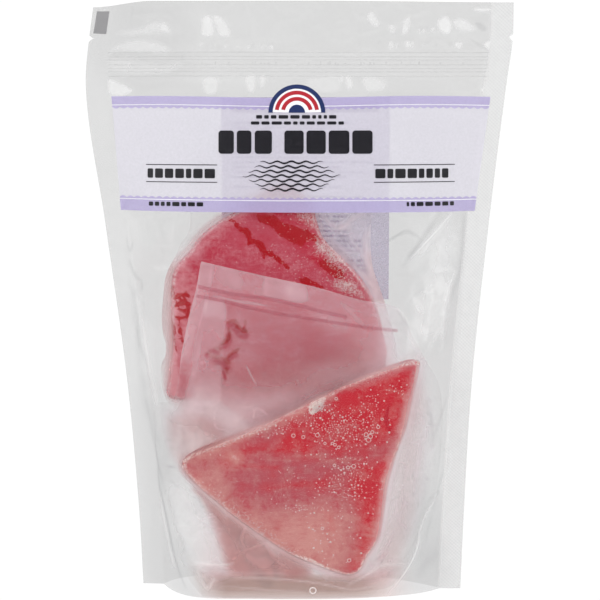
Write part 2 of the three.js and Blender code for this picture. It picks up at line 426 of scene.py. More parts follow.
def bellyShare(z, fullness):
    return (1 - np.clip(z / pouch["bellyTop"], 0, 1) ** fullness) ** 0.9


def zipRidge(x, z):
    phase = (z - zipBand["bottom"]) / (zipBand["top"] - zipBand["bottom"]) * zipBand["ridges"]
    ridge = zipBand["rise"] * np.sin(np.pi * np.clip(phase, 0, zipBand["ridges"])) ** 2
    return ridge * smoothStep(1.0, 0.97, np.abs(acrossShare(x, z)))


field = {"left": -116, "right": 116, "bottom": -3, "top": 309, "step": 1.0}
fieldX, fieldZ = np.meshgrid(np.arange(field["left"], field["right"] + 0.5, field["step"]),
                             np.arange(field["bottom"], field["top"] + 0.5, field["step"]))


def readField(values, x, z):
    # A smooth reading between the field's points.
    u = np.clip((x - field["left"]) / field["step"], 1, values.shape[1] - 2.001)
    v = np.clip((z - field["bottom"]) / field["step"], 1, values.shape[0] - 2.001)
    i, j = np.floor(u).astype(int), np.floor(v).astype(int)
    fu, fv = u - i, v - j
    total = 0
    for row, weightV in enumerate(splineWeights(fv)):
        for column, weightU in enumerate(splineWeights(fu)):
            near = values[np.clip(j + row - 1, 0, values.shape[0] - 1),
                          np.clip(i + column - 1, 0, values.shape[1] - 1)]
            total = total + weightV * weightU * near
    return total


def splineWeights(t):
    return ((1 - t) ** 3 / 6, (3 * t**3 - 6 * t**2 + 4) / 6,
            (-3 * t**3 + 3 * t**2 + 3 * t + 1) / 6, t**3 / 6)


def relaxed(push, held, atLeast, free, reach=16, rounds=500):
    # Spreads a push smoothly from where it is held, and never lets it fall under atLeast.
    leak = 1 - field["step"] ** 2 / (4 * reach**2)
    push = push.copy()
    for _ in range(rounds):
        spread = push.copy()
        spread[1:-1, 1:-1] = leak * (push[:-2, 1:-1] + push[2:, 1:-1] + push[1:-1, :-2]
                                     + push[1:-1, 2:]) / 4
        push = np.maximum(np.where(held, push, spread), atLeast)
        push[~free] = 0
    return push


filmGap = {"overSteak": 0.6, "overRear": 1.6, "crumpled": 1.25, "backSteak": 0.7}


def makeFilmFields():
    x, z = fieldX, fieldZ
    section = sectionShare(x, z)
    middle = middleDepth(x, z)
    frontBulge = pouch["frontBelly"] * section * bellyShare(z, pouch["frontFullness"])
    backBulge = pouch["backBelly"] * section * bellyShare(z, pouch["backFullness"])
    plainFront = middle - pouch["weldHalf"] - frontBulge
    plainBack = middle + pouch["weldHalf"] + backBulge
    frontIn = insideDistance(frontSteak["coarseLine"], x, z)
    rearIn = insideDistance(rearSteak["coarseLine"], x, z)
    free = (np.abs(acrossShare(x, z)) < 0.995) & (z > 0.5) & (z < pouch["bellyTop"])
    # The front film lies on the lower steak's face and clears the upper one.
    frontFace = facePlane(frontSteak, x, z) + 0.25 * rimDrop(frontSteak, frontIn)
    rearFace = facePlane(rearSteak, x, z) + rimDrop(rearSteak, rearIn)
    wanted = plainFront - (frontFace - filmGap["overSteak"])
    held = frontIn > 4.5
    low = np.where(frontIn > 0, wanted, -99)
    low = np.where(rearIn > 0, np.maximum(low, plainFront - (rearFace - filmGap["overRear"])), low)
    push = relaxed(np.where(held, wanted, 0), held, low, free)
    front = plainFront - push
    # The back film clears both steaks' backs.
    rearBack = facePlane(rearSteak, x, z) + rearSteak["thickness"] - rimDrop(rearSteak, rearIn)
    lowBack = np.where(rearIn > 0, rearBack + filmGap["backSteak"] - plainBack, -99)
    back = plainBack + relaxed(np.zeros_like(x), np.zeros_like(held), lowBack, free)
    return front, back, frontIn, rearIn


frontField, backField, frontInside, rearInside = makeFilmFields()
print("film fields made: front to %.1f, back to %.1f" % (frontField.min(), backField.max()))


# Creases of the outer front film: a line of (x, height) points, how wide and how high the ridge is, how much
# it whitens the film, partly as stress-whitening and partly as painted highlight, and how much painted shade
# darkens it.
outerCreases = [
    crease([(-90, 176), (-89, 172.5), (-90, 169)], 0.9, 0.7, 0.3),
    crease([(-88.8, 161), (-86.3, 156), (-84.5, 152), (-82.3, 151), (-81.4, 147)], 1, -0.7, 0.16, 0.1),
    crease([(-86.5, 157), (-84.3, 150), (-83.2, 141), (-80.7, 128), (-78.9, 116), (-75.9, 105), (-74.1, 95)],
        1.3, 0.8, 0.3),
    crease([(-86.8, 156), (-85.9, 143), (-84.1, 134), (-83.6, 121), (-81.2, 105), (-80, 89)], 1.6, -0.6,
        0.08, 0.12),
    crease([(38.8, 180.5), (44.7, 181.9), (50.5, 185.2), (56.4, 186.3), (62, 183.6)], 0.9, 0.3, 0, 0.16),
    crease([(63, 183.4), (57.9, 176), (53.5, 170.9), (51.3, 168.7)], 1.7, -0.5, 0, 0.2),
    crease([(71.7, 197.4), (68.1, 190), (63, 184.1)], 1.4, -0.4, 0, 0.12),
    crease([(79, 197), (72, 188), (66, 180.5), (60, 173), (55, 167)], 2.2, 0.9, 0.16),
    crease([(50.2, 147.1), (53.6, 141.6), (57.3, 136.4)], 0.6, 0.2, 0, 0.3),
    crease([(58.7, 153.9), (64, 156.6), (69, 160)], 0.9, 0.4, 0.12),
    crease([(57, 152), (62.5, 144)], 1.4, 0.6, 0.1),
    crease([(85, 196), (84.5, 172), (83.3, 159), (82.6, 141), (80.6, 124), (78.3, 88)], 1.1, -0.5, 0.05,
        0.16),
    crease([(80.9, 167), (77, 157), (75.3, 149), (74, 136), (73.3, 123)], 1.2, 0.9, 0.3),
    crease([(77.1, 78), (77, 62), (73.8, 55.6), (73.3, 49)], 0.8, 0.6, 0.3),
    crease([(-74.1, 64.5), (-73.4, 53.9), (-71.3, 45.8), (-68.2, 32.8), (-65.6, 21), (-63.1, 13.1),
        (-60.8, 7.9), (-58.5, 3)], 0.55, -0.5, 0, 0.42),
    crease([(-75.4, 64), (-74.8, 53.5), (-72.8, 45), (-69.8, 32), (-67.2, 20.5), (-64.8, 12)], 0.9, 0.7,
        0.35),
    crease([(-74.5, 50), (-74, 38), (-72.8, 26), (-71.8, 10)], 2.4, 0.9, 0.12),
    crease([(69, 155), (67, 148), (66, 138)], 2.2, 1.1, 0.1),
    crease([(-62, 92), (-63, 78), (-65, 66)], 1.6, 0.6, 0.12),
    crease([(-55.3, 17), (-35.3, 18), (-33.4, 19)], 0.7, 0.6, 0.4),
    crease([(-53.3, 14.4), (-51.2, 10.5), (-47.6, 4.6), (-44, 9.8), (-42.4, 8.5)], 0.9, 0.7, 0.35),
    crease([(-52, 13), (-49.6, 9), (-47.4, 6.6)], 0.9, -0.4, 0, 0.2),
    crease([(-36, 10.9), (-7.7, 10.3), (12.8, 7.6), (25.7, 5), (38.5, 6.3), (50.1, 11.6)], 0.7, 0.5, 0.3),
    crease([(-42.4, 7), (-20.6, 5), (3.9, 3.7)], 0.6, 0.4, 0.22),
    crease([(-50, 1.2), (-20, 0.6), (10, 0.6), (38, 1)], 0.5, 0, 0, 0.3),
    crease([(53.9, 16.2), (43, 16.8), (32, 11), (24, 7)], 0.8, 0.5, 0.3),
    crease([(60, 8), (66, 16), (72, 20)], 2.4, 0.6, 0, 0.12),
    crease([(-89.6, 183.5), (-89.1, 179.4), (-87.6, 175.7), (-86, 181.4)], 0.6, -0.3, 0, 0.22),
    crease([(-88.6, 172.1), (-86.6, 165.9), (-84.6, 162.2), (-81.5, 160.7)], 0.7, -0.4, 0, 0.3),
    crease([(-82, 160.7), (-81.5, 157.6), (-82, 155)], 0.6, -0.3, 0, 0.2),
    crease([(-86.6, 155.6), (-84.7, 142.1), (-83.2, 127.5), (-79.6, 117.1), (-75.6, 102.4)], 0.9, -0.5, 0,
        0.2),
    crease([(-85.6, 156.7), (-83.6, 142.1), (-81.6, 127.5), (-78.1, 116)], 1.8, 0.5, 0.16),
    crease([(-80.2, 99.1), (-77.7, 86.5), (-75.2, 72.9), (-72.6, 59.2), (-71.1, 48.6)], 0.9, -0.4, 0, 0.22),
    crease([(-78.1, 99.1), (-76.1, 86.5), (-74.1, 75.5)], 1.8, -0.3, 0, 0.12),
    crease([(84.7, 194.1), (82.9, 166.2), (76.8, 148.6), (73.8, 123.6)], 1.2, -0.4, 0, 0.14),
    crease([(76.7, 153.5), (75.1, 148.8), (75.7, 143.6), (74.2, 138.5), (74.7, 133.3)], 0.6, -0.3, 0, 0.26),
    crease([(78.2, 156.6), (76.7, 151.4), (76.7, 145.2), (75.2, 140)], 0.5, 0.3, 0.16),
    crease([(78.3, 196.2), (68.1, 184.9), (53.8, 170)], 0.45, 0.3, 0.3),
    crease([(68.6, 191.6), (62.5, 182.4), (55.3, 173.1)], 1.5, -0.4, 0, 0.16),
    crease([(43.5, 181.3), (49.7, 184.9), (54.8, 187.5), (58.9, 184.9), (62, 182.4)], 0.6, -0.2, 0, 0.2),
    crease([(68.1, 158.9), (63.5, 156.3), (58.4, 153.7)], 1.2, -0.3, 0, 0.1),
    crease([(43.5, 140.8), (50.7, 140.3), (56.3, 140.3)], 0.5, 0, 0, 0.12),
    crease([(43.5, 137.7), (50.7, 136.7), (56.8, 136.7)], 0.5, 0, 0, 0.12),
    crease([(49.5, 148.3), (54.2, 141.6), (59.3, 132.8), (62.9, 124.5)], 0.45, 0.1, 0.18),
    crease([(64.6, 124.3), (68.6, 130.5), (72.2, 137.2)], 1, 0.4, 0.2),
    crease([(65.2, 100.9), (67.8, 87.9), (68.9, 74.9)], 0.9, -0.2, 0, 0.14),
    crease([(78.1, 98), (73.6, 85), (69, 73.5), (64.9, 64.1)], 0.9, 0.3, 0.12),
    crease([(76.1, 100.6), (72, 87.6), (68.5, 78.2)], 0.9, -0.3, 0, 0.14),
    crease([(76, 63.4), (72.9, 57.1), (70.4, 47.7), (68.3, 41.4)], 0.8, -0.3, 0, 0.16),
    crease([(68.3, 41.4), (65.8, 31.9), (64.3, 24)], 1, -0.3, 0, 0.1),
]
# Painted highlights where the header and belly catch the light; then painted shade: darker patches and
# dimples.
outerPaintedHighlights = [
    area([(-50.2, 295.7), (-46.1, 296.7), (-45.4, 288), (-49.2, 287.3)], 0.8, 0.42),
    area([(-44.2, 296.7), (-41, 296.2), (-37.1, 288), (-41, 287.3)], 0.9, 0.4),
    area([(-93.3, 288), (-82, 290.6), (-74.8, 293.8), (-71.7, 293.4), (-64.6, 288)], 1.8, 0.24),
    area([(-70.5, 293.8), (-68, 293.4), (-67.4, 288), (-69.9, 288)], 0.6, 0.2),
    area([(-98.4, 279.3), (-85.1, 283.9), (-71.8, 282.2), (-65.6, 279.1)], 1.2, 0.26),
    area([(-99.1, 265), (-86.3, 258.4), (-98.6, 256.8)], 1, 0.42),
    area([(-99, 274), (-82, 273), (-60, 272.5), (-60, 270.5), (-99, 269)], 1.6, 0.2),
    area([(-49.2, 264.6), (-42.8, 265.2), (-43.1, 257.5), (-48.7, 257)], 0.9, 0.3),
    area([(-27.7, 265.2), (-23.4, 265.7), (-24.1, 257.5), (-27.2, 259)], 0.8, 0.32),
    area([(-20, 266.4), (-17.6, 266.2), (-17.9, 260), (-19.3, 260)], 0.7, 0.34),
    area([(34.8, 296.9), (38.1, 298.7), (41.5, 291), (38.9, 290.8)], 0.9, 0.34),
    area([(45.7, 292), (47.9, 291.8), (47.5, 287.3), (46.2, 287.3)], 0.6, 0.3),
    area([(53.3, 295.2), (55.9, 295.9), (55.3, 289.6), (52.3, 287.3)], 0.7, 0.36),
    area([(70.7, 295.2), (73.9, 296.9), (77, 293.6), (75.6, 287.7), (71.7, 289.6)], 1, 0.5),
    area([(78, 294.2), (84, 294.9), (90.2, 290.6), (82, 290)], 1.2, 0.36),
    area([(87.8, 301.4), (93.1, 302.2), (98.5, 301.4), (93.2, 300.4)], 0.7, 0.5),
    area([(94, 282), (97.2, 284), (97.4, 279)], 0.6, 0.45),
    area([(2.6, 263.1), (8.2, 265.4), (19, 265.6), (19.7, 258.5), (6.2, 259.5)], 1.2, 0.2),
    area([(20.1, 266), (22.1, 265.8), (21.5, 262.1)], 0.7, 0.4),
    area([(23.6, 264.9), (26.2, 265.2), (26.9, 261.1), (24.6, 259.5)], 0.8, 0.38),
    area([(31.8, 264.1), (37.9, 265.6), (44.1, 262.1), (43.1, 258.5), (33.8, 258.8)], 1.2, 0.26),
    area([(92.3, 258.5), (95.3, 261.1), (100.4, 261.1), (101, 258)], 1, 0.5),
    area([(-70.4, 55.9), (-58, 57), (-52, 42), (-47, 29.9), (-42, 18), (-57, 19.4), (-64.4, 33.8)], 5, 0.2),
    area([(56, 196), (70, 192), (78, 176), (70, 160), (62, 166), (58, 180)], 6, 0.12),
    area([(-90, 192), (-84, 192), (-82, 170), (-88, 160)], 4, 0.14),
    area([(58.7, 153.9), (68.2, 159.1), (74, 163), (76, 140), (72, 132), (61, 136.1)], 3, 0.16),
    area([(-72, 20), (-52, 20), (-42, 12), (-42, -2), (-74, -2)], 4, 0.16),
    area([(50, 22), (60, 26), (76, 30), (78, -2), (46, -2)], 5, 0.12),
    area([(-66, 62), (-50, 50), (-44, 30), (-46, 14), (-60, 16), (-68, 40)], 5, 0.1),
    area([(-84, 140), (-78, 140), (-74, 110), (-70, 80), (-76, 80), (-82, 110)], 3, 0.14),
    area([(79.4, 194.5), (83.1, 182.7), (77.1, 156.8), (69, 133.5), (63.3, 130.9), (63.7, 146.5),
        (67.8, 167.2), (71.8, 185.2)], 4, 0.14),
]
outerPaintedShade = [
    area([(89.6, 293.6), (92.4, 293.8), (96, 289.9), (93, 289.4)], 0.6, 0.22),
    area([(86.6, 285.6), (92.3, 282.6), (96.8, 278.8), (92, 281.2)], 0.5, 0.14),
    area([(61, 290.4), (63.4, 290.8), (63, 288)], 0.5, 0.14),
    area([(48, 2), (58, 22), (72, 26), (76, 4), (56, 0)], 6, 0.2),
    area([(-66, 24), (-52, 22), (-38, 12), (-40, 0), (-64, 0)], 6, 0.14),
    area([(60, 60), (70, 50), (74, 20), (60, 18), (52, 30)], 8, 0.12),
    area([(-82, 110), (-70, 106), (-64, 60), (-60, 16), (-50, -2), (-76, -2), (-80, 50)], 5, 0.14),
    area([(-104, 302), (-62, 300), (-60, 264), (-104, 264)], 8, 0.12),
    area([(-58, 252), (-36, 252), (-36, 206), (-58, 206)], 12, 0.1),
    area([(42, 252), (68, 252), (68, 206), (42, 206)], 12, 0.1),
]


def headerTicks():
    # Short upright wrinkles where the header's film is pinched, in three places, each a painted highlight or
    # a painted shade line.
    rng = np.random.default_rng(211)
    ticks = []
    for fromX, toX, low, high, count in ((36, 84, 279.4, 284, 22), (60, 72, 287.4, 291, 8),
                                         (-52, -14, 279.2, 282.6, 14)):
        for _ in range(count):
            x = rng.uniform(fromX, toX)
            reach = rng.uniform(1.0, high - low)
            start = rng.uniform(low, high - reach + 0.6)
            bright = rng.uniform() > 0.35
            ticks.append(crease([(x, start), (x + rng.normal(0.3, 0.6), start + reach / 2),
                                 (x + rng.normal(0.5, 0.8), start + reach)],
                                rng.uniform(0.4, 0.8), 0.3, 0.28 if bright else 0, 0 if bright else 0.12))
    return ticks


outerCreases += headerTicks()
# The front weld of the bottom gusset: a curve from each side seal down to the base.
gussetWeld = {"right": [(72.5, 50), (70.5, 48.6), (67.9, 45.5), (62.7, 36), (60.1, 23.3), (57, 16.5),
                        (52.3, 9.6), (47, 3.4), (43.3, 0.3)],
              "left": [(-71.3, 50), (-69, 46), (-66, 36), (-63, 24), (-60, 14), (-56.5, 7), (-50, 0.3)]}
outerCreases.append(crease(gussetWeld["right"], 0.6, 0.7, 0.4))


def creaseMarks(creases, x, z):
    # How much a set of creases lifts, whitens and darkens the film at each place.
    rise, haze, shade = (np.zeros(np.shape(x)) for _ in range(3))
    for fold in creases:
        path = smoothPath(fold["line"], 2.0)
        near = nearMask(path, x, z, 4 * fold["width"])
        if near.any():
            distance, along = pathDistance(path, x[near], z[near])
            ridge = np.exp(-((distance / fold["width"]) ** 2)) * np.sin(np.pi * np.clip(along, 0, 1)) ** 0.4
            rise[near] += fold["rise"] * ridge
            haze[near] += fold["haze"] * ridge
            shade[near] += fold["shade"] * ridge
    return rise, haze, shade


crumple = {"header": 0.34, "belly": 0.42, "contact": 0.04, "band": 0.16}


def looseness(x, z):
    # How freely the front film crumples: least over the steak that it lies on and under the print.
    contact = smoothStep(-4, 3, readField(frontInside, x, z))
    band = smoothStep(193, 199, z) * (1 - smoothStep(254, 260, z))
    inner = smoothStep(1.0, 0.93, np.abs(acrossShare(x, z)))
    upper = smoothStep(255, 262, z)
    size = crumple["belly"] * (1 - upper) + crumple["header"] * upper
    size = size * (1 - band) + crumple["band"] * band
    size = size * (1 - contact) + crumple["contact"] * contact
    size = size * (1 - 0.7 * smoothStep(-6, 4, readField(rearInside, x, z)))
    zipped = smoothStep(264, 266, z) * (1 - smoothStep(277, 279, z))
    return size * (0.25 + 0.75 * inner) * (1 - 0.8 * zipped)


def frontFilmDepth(x, z):
    rise, _, _ = creaseMarks(outerCreases, x, z)
    sway = softNoise(x, z * 0.7, 17, 71) + 0.5 * softNoise(x * 1.2, z * 0.8, 8, 72)
    folds = sharpFolds(x, z, 13, 73) - 0.3
    amount = looseness(x, z)
    y = readField(frontField, x, z) - zipRidge(x, z) - rise - amount * (1.3 * sway + 1.1 * folds)
    # Where it would touch the rear steak's face, it is eased off it.
    inside = readField(rearInside, x, z)
    clear = facePlane(rearSteak, x, z) + rimDrop(rearSteak, inside) - filmGap["crumpled"]
    return y + (softMin(y, clear) - y) * smoothStep(-3, 1, inside)


def softMin(first, second, blend=0.9):
    share = np.clip(0.5 + 0.5 * (second - first) / blend, 0, 1)
    return second * (1 - share) + first * share - blend * share * (1 - share)


# Materials.
def newMaterial(name):
    # An empty material, and addNode bound to its own node tree.
    material = bpy.data.materials.new(name)
    material.use_nodes = True
    material.node_tree.nodes.clear()
    return material, partial(addNode, material.node_tree)


def mixAndFinish(add, share, first, second):
    # The last step of a surface: share runs from the first shader at 0 to the second at 1.
    add("OutputMaterial", {"Surface": add("MixShader", {0: share, 1: first, 2: second})})


# Polyethylene, blown film: a clear sheet, faintly milky, that whitens along its folds, partly as painted
# highlight, and mirrors the lights in soft streaks. Its shade mark is painted shade.
def filmMaterial(name, look):
    material, add = newMaterial(name)
    haze, juice, hatch, shade = (add("Attribute", attribute_name=mark).outputs["Fac"]
                                 for mark in ("haze", "juice", "hatch", "shade"))
    place = add("TexCoord").outputs["Object"]
    # Soft handling crinkles about 7 mm across and the die lines of the blown film.
    crinkle = add("TexNoise", {"Vector": place, "Scale": 1 / (7 * mm), "Roughness": 0.5, "Distortion": 0.5})
    dieLines = add("TexWave", {"Vector": place, "Scale": 1 / (14 * mm), "Distortion": 2, "Detail": 1})
    # The weld's pressed hatch: diagonal ridges 1.3 mm apart, crossed by fainter ones.
    hatchScale = 0.628 / (1.84 * mm)
    weld = add("TexWave", {"Vector": place, "Scale": hatchScale}, bands_direction="DIAGONAL")
    turned = add("Mapping", {"Vector": place, "Scale": (-1, 1, 1)})
    cross = add("TexWave", {"Vector": turned, "Scale": hatchScale}, bands_direction="DIAGONAL")
    cross = add("Math", {0: cross.outputs["Fac"], 1: 0.5}, operation="MULTIPLY")
    hatched = add("Math", {0: weld.outputs["Fac"], 1: cross}, operation="ADD")
    dieLines = add("Math", {0: dieLines.outputs["Fac"], 1: 0.05}, operation="MULTIPLY")
    relief = add("Math", {0: crinkle, 1: dieLines}, operation="ADD")
    pressed = add("Math", {0: hatched, 1: hatch}, operation="MULTIPLY")
    ridges = add("Math", {0: pressed, 1: 0.05}, operation="MULTIPLY")
    relief = add("Math", {0: relief, 1: ridges}, operation="ADD")
    bump = add("Bump", {"Height": relief, "Strength": look["bump"], "Distance": 0.45 * mm})
    stain = add("Mix", {0: juice, 6: toLinear(look["milk"]), 7: toLinear("#e8b6b4")},
                data_type="RGBA").outputs[2]
    diffuse = add("BsdfDiffuse", {"Color": stain, "Normal": bump})
    through = add("BsdfTranslucent", {"Color": stain})
    milky = add("MixShader", {0: 0.1, 1: diffuse, 2: through})
    wet = add("Mix", {0: juice, 6: [look["clear"]] * 3 + [1], 7: toLinear(look["stained"])},
              data_type="RGBA").outputs[2]
    # Painted shade: the shade mark darkens what shows through toward grey.
    wet = add("Mix", {0: shade, 6: wet, 7: [0.42, 0.42, 0.43, 1]}, data_type="RGBA").outputs[2]
    clear = add("BsdfTransparent", {"Color": wet})
    # The cloud in the film is uneven, in patches 3 to 9 mm across.
    mottle = add("TexNoise", {"Vector": place, "Scale": 1 / (9 * mm), "Detail": 3, "Roughness": 0.55})
    uneven = add("Math", {0: mottle, 1: look["mottle"]}, operation="MULTIPLY")
    uneven = add("Math", {0: uneven, 1: 1 - look["mottle"] / 2}, operation="ADD")
    cloud = add("Math", {0: haze, 1: uneven}, operation="MULTIPLY")
    cloud = add("Math", {0: cloud, 1: look["milkiness"]}, operation="ADD")
    weldCloud = add("Math", {0: pressed, 1: look["weldHaze"]}, operation="MULTIPLY")
    amount = add("Math", {0: cloud, 1: weldCloud}, operation="ADD", use_clamp=True)
    sheet = add("MixShader", {0: amount, 1: clear, 2: milky})
    # Mirror share of a thin sheet: a few percent head on, and more at a grazing angle.
    facing = add("LayerWeight", {"Normal": bump, "Blend": 0.5}).outputs["Facing"]
    graze = add("Math", {0: facing, 1: 5.0}, operation="POWER")
    graze = add("Math", {0: graze, 1: look["graze"]}, operation="MULTIPLY")
    mirror = add("Math", {0: graze, 1: look["mirror"]}, operation="ADD")
    gloss = add("BsdfGlossy", {"Color": (1, 1, 1, 1), "Roughness": look["roughness"], "Normal": bump})
    coated = add("MixShader", {0: mirror, 1: sheet, 2: gloss})
    # The film scatters light forward, so it hardly shades what is inside.
    shadowClear = add("BsdfTransparent", {"Color": (0.97, 0.97, 0.97, 1)})
    shadowRay = add("LightPath").outputs["Is Shadow Ray"]
    mixAndFinish(add, shadowRay, coated, shadowClear)
    return material


outerFilm = filmMaterial("polyethyleneBlownFilmHeavy", {
    "milk": "#f4f4f4", "clear": 0.84, "stained": "#e6c4c0", "milkiness": 0.004, "mirror": 0.022,
    "graze": 0.2, "mottle": 0.5, "weldHaze": 0.07, "roughness": 0.22, "bump": 0.3})
innerFilm = filmMaterial("polyethyleneBlownFilmThin", {
    "milk": "#fceff6", "clear": 0.985, "stained": "#e4c0bf", "milkiness": 0.002, "mirror": 0.008,
    "graze": 0.06, "mottle": 0.5, "weldHaze": 0.0, "roughness": 0.4, "bump": 0.3})
gussetFilm = filmMaterial("polyethyleneBlownFilmGusset", {
    "milk": "#f0efee", "clear": 0.97, "stained": "#a8917f", "milkiness": 0.01, "mirror": 0.03,
    "graze": 0.2, "mottle": 0.6, "weldHaze": 0.0, "roughness": 0.2, "bump": 0.4})


# Frozen tuna flesh, band-sawn and dipped in water: wine red where it is clear, pink and grey-pink
# where ice has formed in it, with a thin hard glaze that gives soft highlights.
def fleshMaterial(name, look):
    material, add = newMaterial(name)
    deep, pale, wine, frost = (add("Attribute", attribute_name=mark).outputs["Fac"]
                               for mark in ("deep", "pale", "wine", "frost"))
    place = add("TexCoord").outputs["Object"]
    # Muscle fibres run across the slab: soft streaks 9 mm long and 1.6 mm apart.
    stretch = add("Mapping", {"Vector": place, "Rotation": (0, look["fibreTurn"], 0),
                              "Scale": (1 / (9 * mm), 1 / (3 * mm), 1 / (1.6 * mm))})
    fibre = add("TexNoise", {"Vector": stretch, "Scale": 1, "Detail": 3, "Roughness": 0.6})
    # Clouds 9 mm across, specks of 1.3 mm, ragged edges of 3.2 mm and rime grains of 1.2 mm.
    cloud, speck, ragged, rime = (
        add("TexNoise", {"Vector": place, "Scale": 1 / (size * mm), "Detail": detail,
                         "Roughness": rough, "Distortion": rimGlow})
        for size, detail, rough, rimGlow in ((9, 5, 0.62, 0), (1.3, 3, 0.5, 0), (3.2, 5, 0.75, 0),
                                          (1.2, 3, 0.8, 0.6)))

    def swing(noise, amount):
        middle = add("Math", {0: noise, 1: 0.5}, operation="SUBTRACT")
        return add("Math", {0: middle, 1: amount}, operation="MULTIPLY")

    broad = add("Math", {0: swing(fibre, look["fibre"]), 1: swing(cloud, look["cloud"])}, operation="ADD")
    fine = add("Math", {0: swing(speck, 0.55), 1: swing(ragged, 0.7)}, operation="ADD")
    uneven = add("Math", {0: broad, 1: fine}, operation="ADD")
    deepShare = add("Math", {0: deep, 1: uneven}, operation="SUBTRACT", use_clamp=True)
    paleShare = add("Math", {0: pale, 1: uneven}, operation="ADD", use_clamp=True)
    # Dark wine-red bands, where the flesh is bare of ice, have ragged but sharp edges.
    fray = add("Math", {0: swing(ragged, 4.4), 1: swing(fibre, 1.0)}, operation="ADD")
    wineEdge = add("Math", {0: wine, 1: fray}, operation="ADD")
    wineShare = add("MapRange", {"Value": wineEdge, "From Min": -0.1, "From Max": 0.16},
                    interpolation_type="SMOOTHSTEP")
    # Frost breaks up into grains about a millimetre across.
    grains = add("Math", {0: frost, 1: swing(rime, 5.0)}, operation="MULTIPLY")
    frostEdge = add("Math", {0: frost, 1: grains}, operation="ADD")
    frostShare = add("MapRange", {"Value": frostEdge, "From Min": 0.2, "From Max": 1.15},
                     interpolation_type="SMOOTHSTEP")
    colour = toLinear(look["flesh"])
    for share, layer in ((deepShare, "deep"), (paleShare, "pale"), (wineShare, "wine"),
                         (frostShare, "frost")):
        colour = add("Mix", {0: share, 6: colour, 7: toLinear(look[layer])}, data_type="RGBA").outputs[2]
    relief = add("Math", {0: fibre, 1: speck}, operation="ADD")
    bump = add("Bump", {"Height": relief, "Strength": 0.3, "Distance": 0.25 * mm})
    body = add("BsdfPrincipled", {"Base Color": colour, "Roughness": 0.45, "IOR": 1.36,
                                  "Specular IOR Level": 0.2, "Normal": bump})
    add("OutputMaterial", {"Surface": body})
    return material


frontFlesh = fleshMaterial("frozenTunaFleshSawnFront", {
    "flesh": "#c0606a", "deep": "#d62636", "pale": "#e29c95", "wine": "#c81c30", "frost": "#f8e6df",
    "fibreTurn": 0.12, "fibre": 0.55, "cloud": 1.3})
rearFlesh = fleshMaterial("frozenTunaFleshSawnRear", {
    "flesh": "#ce5a6d", "deep": "#ca1b38", "pale": "#eca6ae", "wine": "#bc0018", "frost": "#f8e6e6",
    "fibreTurn": -0.35, "fibre": 0.5, "cloud": 1.0})


# A thin coat or bar on the film: its own body over what shows through it, with a fine grain that
# moves its relief and its cover. Tint colours what comes through.
def coatMaterial(name, look, colour, cover, roughness=None, tint="#ffffff"):
    material, add = newMaterial(name)
    place = add("TexCoord").outputs["Object"]
    grain = add("TexNoise", {"Vector": place, "Scale": 1 / (look["grain"] * mm), "Detail": look["detail"]})
    if look["mottle"]:
        shift = add("Math", {0: grain, 1: 0.5}, operation="SUBTRACT")
        shift = add("Math", {0: shift, 1: look["mottle"]}, operation="MULTIPLY")
        cover = add("Math", {0: shift, 1: cover}, operation="ADD", use_clamp=True)
    if look["bump"]:
        bump = add("Bump", {"Height": grain, "Strength": look["bump"], "Distance": look["depth"] * mm})
        body = add("BsdfPrincipled", {
            "Base Color": toLinear(colour), "Roughness": roughness or look["roughness"],
            "IOR": look["ior"], "Specular IOR Level": look["mirror"], "Normal": bump})
    else:
        body = add("BsdfDiffuse", {"Color": toLinear(colour)})
    mixAndFinish(add, cover, add("BsdfTransparent", {"Color": toLinear(tint)}), body)
    return material


# Flexo ink on polyethylene, printed by a rubber plate: matt fields that let some of the pack
# behind show through, with faint mottle.
ink = {"grain": 1.1, "detail": 3, "mottle": 0.12, "bump": 0.15, "depth": 0.05, "roughness": 0.5,
       "ior": 1.5, "mirror": 0.4}
groundInk = coatMaterial("flexoInkWhiteGround", ink, "#dad7e3", 0.62)
lavenderInk = coatMaterial("flexoInkLavender", ink, "#b9aeda", 0.66)
lineInk = coatMaterial("flexoInkWhiteLine", ink, "#f6f5fb", 0.8)
blackInk = coatMaterial("flexoInkBlack", ink, "#15141b", 0.96, 0.4)
navyInk = coatMaterial("flexoInkNavy", ink, "#1d2f63", 0.95, 0.4)
redInk = coatMaterial("flexoInkRed", ink, "#b8202f", 0.95, 0.4)
pureWhiteInk = coatMaterial("flexoInkOpaqueWhite", ink, "#fbfbff", 0.95, 0.4)
greyInk = coatMaterial("flexoInkGrey", ink, "#8e8d8f", 0.92)
# Flexo ink without white under it: a lavender glass that the backdrop shines through.
clearInk = {"grain": 1.4, "detail": 3, "mottle": 0.1, "bump": 0}
backInk = coatMaterial("flexoInkLavenderClear", clearInk, "#d2c8e6", 0.3, tint="#ece6f4")
backRuleInk = coatMaterial("flexoInkPlumClear", clearInk, "#7d7390", 0.24, tint="#d6cfe0")
# Ice on the flesh, grown as rime: small bright facets.
ice = {"grain": 0.6, "detail": 2, "mottle": 0, "bump": 0.5, "depth": 0.15, "roughness": 0.3,
       "ior": 1.31, "mirror": 0.5}
rimeIce = coatMaterial("waterIceRime", ice, "#fbf0ee", 0.85)
airRing = coatMaterial("airBubbleInGlaze", ice, "#fbe4e0", 0.82)
# Low-density polyethylene, extruded: the zips' solid ribs, clear and softly glossy, tinted by what
# they lie on.
rib = {"grain": 1.6, "detail": 2, "mottle": 0, "bump": 0.3, "depth": 0.1, "roughness": 0.25,
       "ior": 1.51, "mirror": 0.5}
innerRib = coatMaterial("polyethyleneExtrudedRibThin", rib, "#e2b4be", 0.12, tint="#f3e0e4")
outerRib = coatMaterial("polyethyleneExtrudedRib", rib, "#f0f0f0", 0.07, tint="#f6f6f6")


